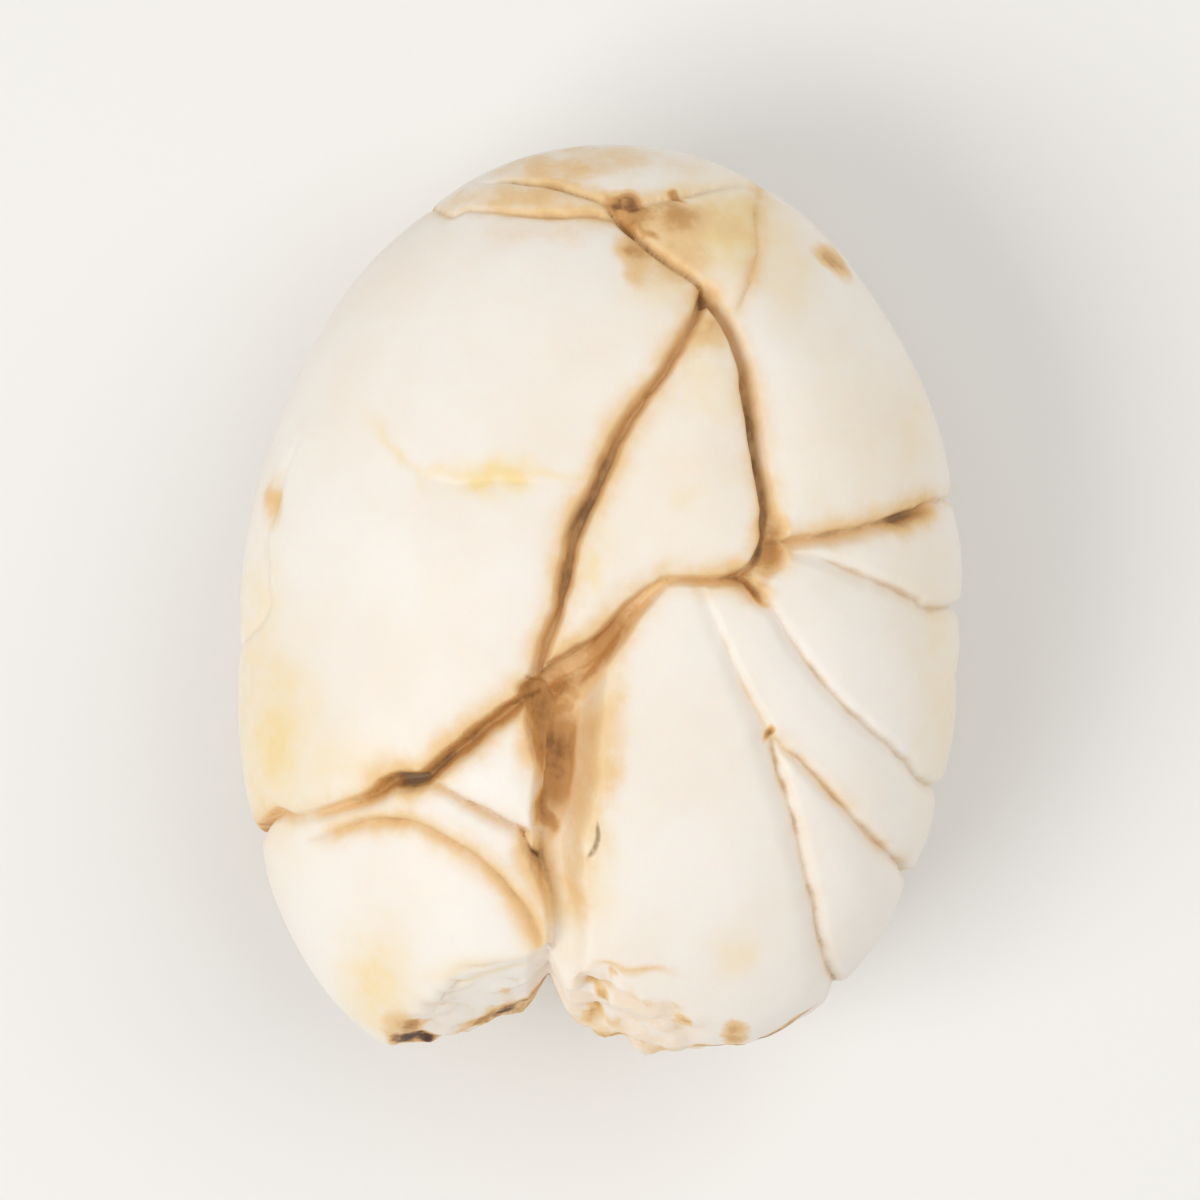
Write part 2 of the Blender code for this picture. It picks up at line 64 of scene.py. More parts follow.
Array = np.ndarray


def unit(vectors: Array) -> Array:
    """These vectors at length one."""
    return vectors / np.linalg.norm(vectors, axis=1)[:, None]


def smooth_share(share: Array) -> Array:
    """Eases a share in and out between 0 and 1."""
    share = np.clip(share, 0.0, 1.0)
    return share * share * (3 - 2 * share)


class NoiseLayer(Enum):
    """The layers of noise, each with a start of its own so that no two are alike."""

    WOBBLE = 3.0
    SWELLING = 11.0
    TEAR = 23.0
    DIMPLES = 31.0
    CRUMBS = 41.0
    PATCH_EDGES = 53.0
    LUMPS = 61.0
    TREMOR = 71.0
    FLOORS = 83.0


def wandering(points: Array, size: float, layer: NoiseLayer) -> Array:
    """Smooth noise vectors at these points.

    Args:
        points: places in millimetres.
        size: width of the noise's features in millimetres.
        layer: which of the noises to read.

    Returns:
        One vector for each point, each part from about -1 to 1.
    """
    offset = Vector((layer.value, 0.0, 0.0))
    noise.seed_set(NOISE_SEED)
    return np.array([noise.noise_vector(Vector(p) / size + offset) for p in points])


class Face(Enum):
    """The two broad faces of the seed."""

    UPPER = 1.0
    UNDER = -1.0


@dataclass(frozen=True)
class Waypoint:
    """A place on the seed as seen from above, and the share of a crease's depth there."""

    x: float
    y: float
    face: Face = Face.UPPER
    share: float = 1.0


def upper(x: float, y: float, share: float = 1.0) -> Waypoint:
    """A waypoint on the upper face."""
    return Waypoint(x, y, Face.UPPER, share)


def under(x: float, y: float, share: float = 1.0) -> Waypoint:
    """A waypoint on the underside, placed as if seen through from above."""
    return Waypoint(x, y, Face.UNDER, share)


@dataclass(frozen=True)
class OvalBody:
    """The smooth oval that the lobes stand on.

    Its lengths run from the middle to the closed end, the crown, and to where the root tip was.
    A power of 2 gives an ellipse and a higher one a fuller shape, and blend is how quickly the
    root's power turns into the crown's. Egg narrows the closed end and leaning tips it to +X,
    both per millimetre of length. Bend curves both ends back to -X, per square millimetre.
    Nudge is the small turn over which the skin's slope is measured.
    """

    half_width: float = 11.2
    half_thickness: float = 7.7
    crown_length: float = 14.0
    root_length: float = 15.6
    crown_power: float = 2.05
    root_power: float = 2.3
    flank_power: float = 2.15
    blend: float = 1.1
    egg: float = 0.0032
    leaning: float = 0.036
    bend: float = 0.00096
    nudge: float = 1e-3

    def onto_oval(self, directions: Array) -> Array:
        """Finds the oval's points before it leans.

        Args:
            directions: unit vectors from the oval's middle.

        Returns:
            The point in each direction.
        """
        towards_crown = smooth_share(0.5 + self.blend * directions[:, 1])
        power = self.root_power + (self.crown_power - self.root_power) * towards_crown
        length = np.where(directions[:, 1] > 0, self.crown_length, self.root_length)
        across = np.abs(directions[:, 0] / self.half_width) ** self.flank_power
        upward = np.abs(directions[:, 2] / self.half_thickness) ** self.flank_power
        along = np.abs(directions[:, 1] / length) ** power
        radius = ((across + upward) ** (power / self.flank_power) + along) ** (-1.0 / power)
        return directions * radius[:, None]

    def sideways(self, along: Array) -> Array:
        """How far the body leans to +X at these places along its length."""
        return self.leaning * along - self.bend * along ** 2

    def lean(self, points: Array) -> Array:
        """Narrows the closed end, leans it over and bends it back a little.

        Args:
            points: places on the upright oval.

        Returns:
            The same places on the leaning body.
        """
        leaned = points.copy()
        narrowed = points[:, 0] * (1.0 - self.egg * points[:, 1])
        leaned[:, 0] = narrowed + self.sideways(points[:, 1])
        return leaned

    def straighten(self, points: Array) -> Array:
        """Undoes lean().

        Args:
            points: places on the leaning body.

        Returns:
            The same places on the upright oval.
        """
        straight = points.copy()
        centred = points[:, 0] - self.sideways(points[:, 1])
        straight[:, 0] = centred / (1.0 - self.egg * points[:, 1])
        return straight

    def surface(self, directions: Array) -> tuple[Array, Array]:
        """Finds the skin of the leaning body.

        Args:
            directions: unit vectors from the body's middle.

        Returns:
            The point in each direction, and the skin's outward normal there.
        """
        points = self.lean(self.onto_oval(directions))
        near_x = np.abs(directions[:, :1]) > 0.9
        sideways = np.where(near_x, [[0.0, 1.0, 0.0]], [[1.0, 0.0, 0.0]])
        first = unit(np.cross(directions, sideways))
        second = np.cross(directions, first)
        first_edge = self.lean(self.onto_oval(unit(directions + self.nudge * first))) - points
        second_edge = self.lean(self.onto_oval(unit(directions + self.nudge * second))) - points
        return points, unit(np.cross(first_edge, second_edge))

    def heading_of(self, waypoint: Waypoint) -> Array:
        """Finds the direction from the middle of the body to a waypoint.

        Args:
            waypoint: a place as seen from above.

        Returns:
            The unit vector towards it, before the body leans.
        """
        spot = self.straighten(np.array([[waypoint.x, waypoint.y, 0.0]]))
        low, high = 0.0, self.half_thickness
        for _ in range(BISECTIONS):
            spot[0, 2] = 0.5 * (low + high)
            if np.linalg.norm(self.onto_oval(unit(spot))) > np.linalg.norm(spot):
                low = spot[0, 2]
            else:
                high = spot[0, 2]
        return unit(spot * [[1.0, 1.0, waypoint.face.value]])[0]

    def place(self, waypoint: Waypoint) -> Array:
        """The point of the leaning body at a waypoint."""
        return self.lean(self.onto_oval(self.heading_of(waypoint)[None]))[0]


def spline(knots: Sequence[Array], per_leg: int = 10) -> Array:
    """A smooth curve through these knots.

    Args:
        knots: the points that the curve passes through.
        per_leg: samples between two knots.

    Returns:
        The curve's samples, from the first knot to the last.
    """
    knots = [2 * knots[0] - knots[1], *knots, 2 * knots[-1] - knots[-2]]
    curve = []
    for a, b, c, d in zip(knots, knots[1:], knots[2:], knots[3:]):
        for t in np.arange(per_leg) / per_leg:
            curve.append(0.5 * (2 * b + (c - a) * t + (2 * a - 5 * b + 4 * c - d) * t ** 2
                                + (3 * b - a - 3 * c + d) * t ** 3))
    curve.append(knots[-2])
    return np.array(curve)


@dataclass(frozen=True)
class Crease:
    """One fold line. Left and right are those of someone who walks along the route.

    Left and right are the widths of the walls, and floor is half the width of the bottom. Step
    is how far the left lobe stands over the right one. A ramp is 0 for a wall that rolls in and
    1 for an open slope. Dark is the strength of the painted shade, a dark line on the floor, and
    tan that of the walls' colour, which spreads past the floor by left_tan and right_tan.
    """

    route: tuple[Waypoint, ...]
    depth: float
    left: float = 0.3
    right: float = 0.3
    floor: float = 0.0
    step: float = 0.0
    left_ramp: float = 0.0
    right_ramp: float = 0.0
    dark: float = 0.15
    tan: float = 0.5
    left_tan: float = 0.14
    right_tan: float = 0.14


VALLEY_FORK = upper(-2.15, -3.05, 0.85)
FAN_HEAD = upper(5.35, 1.6)
CROWN_GAP = upper(3.2, 9.35)
UNDER_FORK = under(-4.1, 0.55)
UNDER_KNOT = under(0.7, -2.6)
UNDER_LEFT = under(-5.55, 4.4)
UNDER_TOP = under(3.1, 7.3)

CREASES = (
    # Between the large left lobe and the teardrop lobe
    Crease((CROWN_GAP, upper(3.0, 8.75, 0.85), upper(2.37, 7.7, 0.75), upper(1.58, 6.6, 0.8),
            upper(0.8, 5.35, 0.9), upper(0.25, 4.25), upper(-0.4, 3.0), upper(-0.95, 1.8),
            upper(-1.2, 0.6, 0.98), upper(-1.42, -0.55, 0.85), upper(-1.78, -1.55, 0.78),
            upper(-2.05, -2.4, 0.85), VALLEY_FORK),
           depth=0.85, left=0.28, right=0.25, floor=0.1, step=-0.1, left_ramp=0.35,
           dark=0.54, tan=0.44, left_tan=0.28, right_tan=0.26),
    # Between the teardrop lobe and the long right lobe
    Crease((CROWN_GAP, upper(3.85, 8.4, 0.85), upper(4.25, 7.3, 0.9), upper(4.55, 5.75),
            upper(4.8, 4.35), upper(5.0, 3.0), upper(5.05, 2.0), upper(4.85, 1.1),
            upper(4.3, 0.5, 0.8)),
           depth=0.85, left=0.32, right=0.22, floor=0.09, step=0.05, left_ramp=0.45,
           dark=0.75, tan=0.38, left_tan=0.22, right_tan=0.2),
    # The hollow where the fan of narrow lobes starts
    Crease((upper(5.0, 2.9, 0.2), upper(5.1, 2.2, 0.7), upper(5.2, 1.6), upper(5.05, 1.0, 0.85),
            upper(4.8, 0.45, 0.5)),
           depth=0.7, left=0.45, right=0.3, floor=0.26, left_ramp=0.6,
           dark=0.3, tan=0.66, left_tan=0.3, right_tan=0.2),
    # Under the lower edge of the teardrop lobe
    Crease((upper(5.2, -0.45, 0.3), upper(4.8, 0.05, 0.8), upper(4.3, 0.5),
            upper(3.4, 0.45, 0.75), upper(2.5, 0.5, 0.65),
            upper(1.8, 0.42, 0.7), upper(1.35, 0.05, 0.6)),
           depth=0.6, left=0.35, right=0.2, floor=0.06, step=-0.12, left_ramp=0.5,
           dark=0.4, tan=0.55, left_tan=0.22, right_tan=0.14),
    # The gully from there to the valley
    Crease((upper(1.8, 0.38, 0.3), upper(1.25, -0.05, 0.6), upper(0.65, -0.65, 0.8),
            upper(0.15, -1.3, 0.95), upper(-0.35, -2.0), upper(-0.85, -2.8),
            upper(-1.2, -3.5, 0.6)),
           depth=0.95, left=0.42, right=0.22, floor=0.2, left_ramp=0.8,
           dark=0.2, tan=0.66, left_tan=0.36, right_tan=0.2),
    # The open valley down to the root end
    Crease((upper(-0.4, -2.0, 0.2), upper(-0.8, -2.8, 0.6), upper(-1.15, -3.6, 0.9),
            upper(-1.4, -4.4), upper(-1.5, -5.5), upper(-1.62, -6.5, 0.95),
            upper(-1.68, -7.4, 0.8), upper(-1.58, -8.5, 0.65), upper(-1.4, -9.6, 0.55),
            upper(-1.3, -10.6, 0.5), upper(-1.36, -11.5, 0.5), upper(-1.55, -12.4, 0.5),
            under(-1.5, -12.6, 0.6), under(-0.6, -12.0, 0.5)),
           depth=1.4, left=1.05, right=0.28, floor=0.42, left_ramp=1.0,
           dark=0.0, tan=0.28, left_tan=0.95, right_tan=0.3),
    # The valley's head, where the folds meet under the tip of the teardrop lobe
    Crease((upper(0.1, -1.3, 0.5), upper(-0.45, -1.85), upper(-1.0, -2.2), upper(-1.6, -2.5),
            VALLEY_FORK),
           depth=1.05, left=0.5, right=0.2, floor=0.26, left_ramp=0.8,
           dark=0.0, tan=0.62, left_tan=0.3, right_tan=0.16),
    Crease((VALLEY_FORK, upper(-1.85, -3.75), upper(-1.65, -4.6), upper(-1.6, -5.4, 0.7)),
           depth=1.3, left=0.35, right=0.28, floor=0.42, left_ramp=0.6,
           dark=0.0, tan=0.75, left_tan=0.2, right_tan=0.14),
    # The gap between the valley and the rolled rim of the left end lobe
    Crease((upper(-2.7, -7.15, 0.4), upper(-2.35, -7.65, 0.8), upper(-2.0, -8.35),
            upper(-1.72, -9.15, 0.8), upper(-1.56, -10.0, 0.5), upper(-1.45, -10.8, 0.2)),
           depth=0.8, left=0.2, right=0.15, floor=0.06,
           dark=0.5, tan=0.62, left_tan=0.2, right_tan=0.12),
    # The short crack beside the valley
    Crease((upper(-0.16, -6.7, 0.0), upper(-0.14, -6.95, 0.9), upper(-0.12, -7.4),
            upper(-0.22, -7.75), upper(-0.38, -8.05, 0.9), upper(-0.46, -8.3, 0.0)),
           depth=0.08, left=0.1, right=0.1,
           dark=0.85, tan=0.3, left_tan=0.1, right_tan=0.1),
    # Lower edge of the large left lobe, carried over the flank to the underside
    Crease((VALLEY_FORK, upper(-2.9, -3.5, 0.9), upper(-3.75, -4.15), upper(-4.93, -5.1),
            upper(-5.5, -5.58), upper(-6.5, -5.7), upper(-7.15, -6.15, 0.8),
            upper(-8.3, -6.6, 0.5), upper(-9.5, -6.8, 0.45), upper(-10.5, -6.85, 0.6),
            under(-9.7, -7.5, 0.9), under(-8.0, -8.6), under(-5.6, -9.3)),
           depth=0.6, left=0.5, right=0.25, floor=0.07, step=-0.12, left_ramp=0.5,
           dark=0.45, tan=0.85, left_tan=0.26, right_tan=0.2),
    Crease((upper(-5.1, -5.4, 0.2), upper(-5.6, -5.62), upper(-6.3, -5.7),
            upper(-6.9, -5.95, 0.2)),
           depth=0.75, left=0.2, right=0.18, floor=0.13,
           dark=0.9, tan=0.95, left_tan=0.16, right_tan=0.14),
    # Lower edge of the small triangular lobe
    Crease((upper(-5.4, -5.65, 0.9), upper(-4.6, -6.1), upper(-3.9, -6.5),
            upper(-2.9, -7.05), upper(-2.0, -7.55)),
           depth=0.42, left=0.22, right=0.32, floor=0.03, step=0.06, right_ramp=0.4,
           dark=0.1, tan=0.3, left_tan=0.12, right_tan=0.2),
    # Rolled rim of the left end lobe
    Crease((upper(-9.6, -7.7, 0.0), upper(-8.2, -7.3, 0.8), upper(-7.0, -6.95),
            upper(-5.8, -7.0), upper(-4.95, -7.4), upper(-4.0, -7.9), upper(-3.2, -8.6),
            upper(-2.55, -9.5), upper(-2.13, -10.3), upper(-1.98, -10.9, 0.8),
            upper(-2.0, -11.5, 0.3)),
           depth=0.28, left=0.22, right=0.4, step=0.1, right_ramp=0.3,
           dark=0.15, tan=0.42, left_tan=0.14, right_tan=0.16),
    # The fan of narrow lobes on the right, each lapping the next
    Crease((FAN_HEAD, upper(6.2, 1.78), upper(7.0, 1.86), upper(7.9, 2.0), upper(9.0, 2.35),
            upper(9.9, 2.65, 0.9), upper(10.5, 2.9, 0.6), under(9.9, 3.2, 0.8),
            under(8.4, 4.0), under(6.0, 5.6), UNDER_TOP),
           depth=0.42, left=0.2, right=0.5, floor=0.04, step=0.12, right_ramp=0.5,
           dark=0.45, tan=0.4, left_tan=0.08, right_tan=0.16),
    # The wedge where the upper lobe laps the fan: its dark line and the wide tan below it are
    # painted shadow.
    Crease((upper(7.8, 1.98, 0.1), upper(8.7, 2.25, 0.6), upper(9.5, 2.5), upper(10.2, 2.78, 0.8),
            upper(10.7, 3.0, 0.2)),
           depth=0.5, left=0.16, right=0.3, floor=0.1, right_ramp=0.5,
           dark=0.75, tan=0.55, left_tan=0.12, right_tan=0.4),
    Crease((upper(5.9, 1.35, 0.3), upper(6.9, 1.05, 0.7), upper(7.7, 0.78), upper(8.5, 0.48),
            upper(9.3, 0.12), upper(9.9, -0.18), upper(10.5, -0.42), under(10.2, -0.1),
            under(7.8, -0.8, 0.8), under(5.3, -2.2)),
           depth=0.28, left=0.3, right=0.55, floor=0.03, step=0.1, right_ramp=0.6,
           dark=0.3, tan=0.22, left_tan=0.08, right_tan=0.12),
    Crease((upper(4.2, 0.55, 0.8), upper(4.65, 0.2), upper(5.15, -0.35), upper(5.9, -1.4),
            upper(7.1, -2.9), upper(8.3, -4.1), upper(9.45, -5.1), upper(10.2, -5.8),
            under(9.7, -5.2), under(8.6, -4.2)),
           depth=0.28, left=0.3, right=0.5, floor=0.03, step=0.08, right_ramp=0.5,
           dark=0.3, tan=0.22, left_tan=0.08, right_tan=0.12),
    Crease((upper(5.13, -4.32), upper(5.6, -4.75), upper(6.15, -5.15), upper(7.1, -6.1),
            upper(8.3, -7.3), upper(9.2, -8.2), under(8.8, -8.0), under(7.6, -6.6),
            under(6.4, -5.3)),
           depth=0.28, left=0.28, right=0.45, floor=0.03, step=0.08, right_ramp=0.45,
           dark=0.3, tan=0.3, left_tan=0.1, right_tan=0.12),
    Crease((upper(3.15, 0.1, 0.3), upper(3.55, -0.9, 0.5), upper(4.05, -1.95, 0.65),
            upper(4.7, -3.3, 0.8), upper(5.13, -4.32), upper(5.5, -5.7), upper(6.05, -7.5),
            upper(6.65, -9.6), upper(7.0, -11.1), under(6.2, -11.4), under(3.4, -11.6),
            under(0.6, -11.2)),
           depth=0.28, left=0.3, right=0.8, floor=0.03, step=0.02, left_ramp=0.6, right_ramp=0.5,
           dark=0.5, tan=0.28, left_tan=0.1, right_tan=0.16),
    # Folds that wrap the closed end
    Crease((upper(0.3, 11.9, 0.8), upper(0.95, 11.3), upper(1.6, 10.75), upper(2.3, 10.25),
            upper(3.0, 9.75), CROWN_GAP),
           depth=0.42, left=0.18, right=0.35, floor=0.02, step=0.12, right_ramp=0.4,
           dark=0.0, tan=0.3, left_tan=0.08, right_tan=0.1),
    Crease((upper(4.1, 8.5, 0.5), upper(4.45, 9.4, 0.7), upper(4.75, 10.5, 0.8),
            upper(4.8, 11.8, 0.8), under(4.7, 12.2, 0.8), under(4.9, 10.0),
            under(4.6, 8.0), UNDER_TOP),
           depth=0.16, left=0.25, right=0.25,
           dark=0.0, tan=0.42, left_tan=0.14, right_tan=0.16),
    Crease((upper(0.6, 11.75, 0.8), upper(-0.2, 11.8, 0.8), upper(-1.4, 11.8, 0.8),
            upper(-2.4, 11.85, 0.7), upper(-3.4, 11.93, 0.6), upper(-4.2, 11.95, 0.5),
            upper(-4.9, 11.85, 0.5), under(-5.4, 11.4, 0.5), under(-6.1, 10.8, 0.8),
            under(-6.9, 10.0),
            under(-7.6, 8.8), under(-6.9, 7.1), UNDER_LEFT),
           depth=0.3, left=0.4, right=0.18, step=-0.1, left_ramp=0.5,
           dark=0.35, tan=0.5, left_tan=0.16, right_tan=0.1),
    Crease((upper(0.5, 12.05, 0.6), upper(-0.4, 12.35, 0.7), upper(-1.3, 12.7, 0.8),
            upper(-2.3, 12.85, 0.7), upper(-3.1, 12.85, 0.5), upper(-3.8, 12.75, 0.2),
            under(-4.4, 12.4, 0.0)),
           depth=0.28, left=0.4, right=0.18, step=-0.08, left_ramp=0.5,
           dark=0.35, tan=0.5, left_tan=0.16, right_tan=0.1),
    Crease((under(-3.6, 11.6, 0.0), under(-2.4, 11.4, 0.8), under(-0.9, 10.8),
            under(0.2, 9.2), under(1.0, 7.1)),
           depth=0.28, left=0.4, right=0.2, step=-0.08, left_ramp=0.5,
           dark=0.2, tan=0.3, left_tan=0.12, right_tan=0.1),
    Crease((upper(0.9, 12.0, 0.8), upper(2.0, 12.3, 0.7), upper(3.4, 12.6, 0.6),
            upper(4.6, 12.6, 0.3)),
           depth=0.28, left=0.18, right=0.4, step=0.1, right_ramp=0.4,
           dark=0.15, tan=0.4, left_tan=0.08, right_tan=0.14),
    # Faint folds on the large left lobe
    Crease((upper(-7.2, 5.1, 0.0), upper(-6.1, 4.2, 0.6), upper(-5.0, 3.45),
            upper(-3.2, 3.45), upper(-1.7, 3.4, 0.9), upper(-0.6, 3.5, 0.4)),
           depth=0.06, left=0.7, right=0.7, step=0.04, dark=0.0, tan=0.0),
    Crease((upper(-9.2, 5.0, 0.0), upper(-9.75, 3.9, 0.8), upper(-10.0, 2.9),
            upper(-10.3, 1.9, 0.7), upper(-10.3, 0.6, 0.5), upper(-10.6, -0.9, 0.6),
            under(-10.5, -2.6, 0.7), under(-9.5, -4.4), under(-8.1, -6.0)),
           depth=0.18, left=0.4, right=0.7, step=0.02, right_ramp=0.7,
           dark=0.0, tan=0.2, left_tan=0.1, right_tan=0.2),
    # Underside
    Crease((UNDER_LEFT, under(-5.85, 3.2), under(-5.3, 1.9), UNDER_FORK),
           depth=0.66, left=0.4, right=0.3, floor=0.05, step=0.08, left_ramp=0.3,
           dark=0.3, tan=0.55, left_tan=0.25, right_tan=0.16),
    Crease((UNDER_LEFT, under(-4.4, 5.3), under(-2.5, 6.2), under(-0.7, 6.8),
            under(1.0, 7.1), UNDER_TOP),
           depth=0.55, left=0.25, right=0.45, floor=0.04, step=-0.08, right_ramp=0.4,
           dark=0.2, tan=0.5, left_tan=0.16, right_tan=0.16),
    Crease((UNDER_FORK, under(-5.0, -1.2), under(-6.3, -3.0, 0.8), under(-7.6, -4.7),
            under(-8.1, -6.0), under(-8.3, -8.4)),
           depth=0.5, left=0.25, right=0.45, floor=0.04, step=0.08, right_ramp=0.4,
           dark=0.2, tan=0.5, left_tan=0.14, right_tan=0.16),
    Crease((UNDER_FORK, under(-4.4, -2.3), under(-5.1, -4.9), under(-5.3, -7.3, 0.8),
            under(-5.6, -9.3), under(-4.6, -11.6, 0.9), upper(-4.4, -12.9, 0.0)),
           depth=0.5, left=0.45, right=0.25, floor=0.04, left_ramp=0.4,
           dark=0.2, tan=0.5, left_tan=0.16, right_tan=0.14),
    Crease((UNDER_FORK, under(-2.6, -0.1), under(-0.9, -1.2), UNDER_KNOT),
           depth=0.8, left=0.4, right=0.3, floor=0.14, step=0.05, left_ramp=0.4,
           dark=0.6, tan=0.62, left_tan=0.3, right_tan=0.3),
    Crease((UNDER_KNOT, under(0.4, -4.9), under(0.6, -7.7), under(0.4, -10.1),
            under(-0.6, -12.0, 0.7)),
           depth=0.85, left=0.3, right=0.6, floor=0.14, right_ramp=0.6,
           dark=0.5, tan=0.62, left_tan=0.3, right_tan=0.5),
    Crease((UNDER_KNOT, under(2.3, -2.5), under(3.8, -2.3, 0.8), under(5.6, -2.2)),
           depth=0.55, left=0.4, right=0.25, floor=0.04, step=0.06, left_ramp=0.4,
           dark=0.2, tan=0.5, left_tan=0.16, right_tan=0.14),
    Crease((under(0.7, -8.3), under(2.5, -7.1), under(4.3, -6.2, 0.8),
            under(6.4, -5.3), under(8.6, -4.2), under(10.4, -2.9),
            upper(10.9, -2.4, 0.0)),
           depth=0.5, left=0.3, right=0.45, floor=0.04, step=0.07, right_ramp=0.4,
           dark=0.2, tan=0.5, left_tan=0.14, right_tan=0.16),
)


class Beside:
    """How the points near one crease lie beside it.

    Index tells which points are near. Each of them has its distance from the fold line, the
    side it is on, above 0 for left, how far beyond the line's end it lies, and the share of
    the crease's depth there.
    """

    REACH = 4.0
    MOST_SHARE = 1.2

    def __init__(self, crease: Crease, body: OvalBody, points: Array, normals: Array) -> None:
        """Measures the points.

        Args:
            crease: the fold line.
            body: the oval that carries it.
            points: places in millimetres.
            normals: the body's outward normals at the points.
        """
        headings = [body.heading_of(waypoint) for waypoint in crease.route]
        line = body.lean(body.onto_oval(unit(spline(headings))))
        shares = spline([np.array([waypoint.share]) for waypoint in crease.route])[:, 0]
        shares = np.clip(shares, 0.0, self.MOST_SHARE)
        boxed = (points > line.min(axis=0) - self.REACH) & (points < line.max(axis=0) + self.REACH)
        self.index = np.nonzero(boxed.all(axis=1))[0]
        points, normals = points[self.index], normals[self.index]
        squares = (points ** 2).sum(axis=1)[:, None] + (line ** 2).sum(axis=1) - 2 * points @ line.T
        nearest = squares.argmin(axis=1)
        gradient = np.gradient(line, axis=0)
        tangents = unit(gradient)[nearest]
        offset = points - line[nearest]
        along = (offset * tangents).sum(axis=1)
        last = len(line) - 1
        past_end = ((nearest == 0) & (along < 0)) | ((nearest == last) & (along > 0))
        self.beyond = np.where(past_end, np.abs(along), 0.0)
        along = np.where(past_end, 0.0, along)
        across = offset - along[:, None] * tangents
        self.distance = np.linalg.norm(across, axis=1)
        self.side = (np.cross(normals, tangents) * across).sum(axis=1)
        growth = np.gradient(shares) / np.linalg.norm(gradient, axis=1)
        self.share = np.clip(shares[nearest] + growth[nearest] * along, 0.0, self.MOST_SHARE)


@dataclass
class Marks:
    """What the sculpting leaves at each point for the finish to colour.

    Depth is how deep the folds are; then come the painted shade of their dark line, the tan of
    their walls, and the halo of painted shade and warm tint on the flesh beside them.
    """

    depth: Array
    seam: Array
    edge: Array
    shade_and_tint_halo: Array

    def raise_to(self, index: Array, *least: Array) -> None:
        """Lifts the marks of these points to at least these values, in the fields' order."""
        for mark, value in zip((self.depth, self.seam, self.edge, self.shade_and_tint_halo), least):
            mark[index] = np.maximum(mark[index], value)


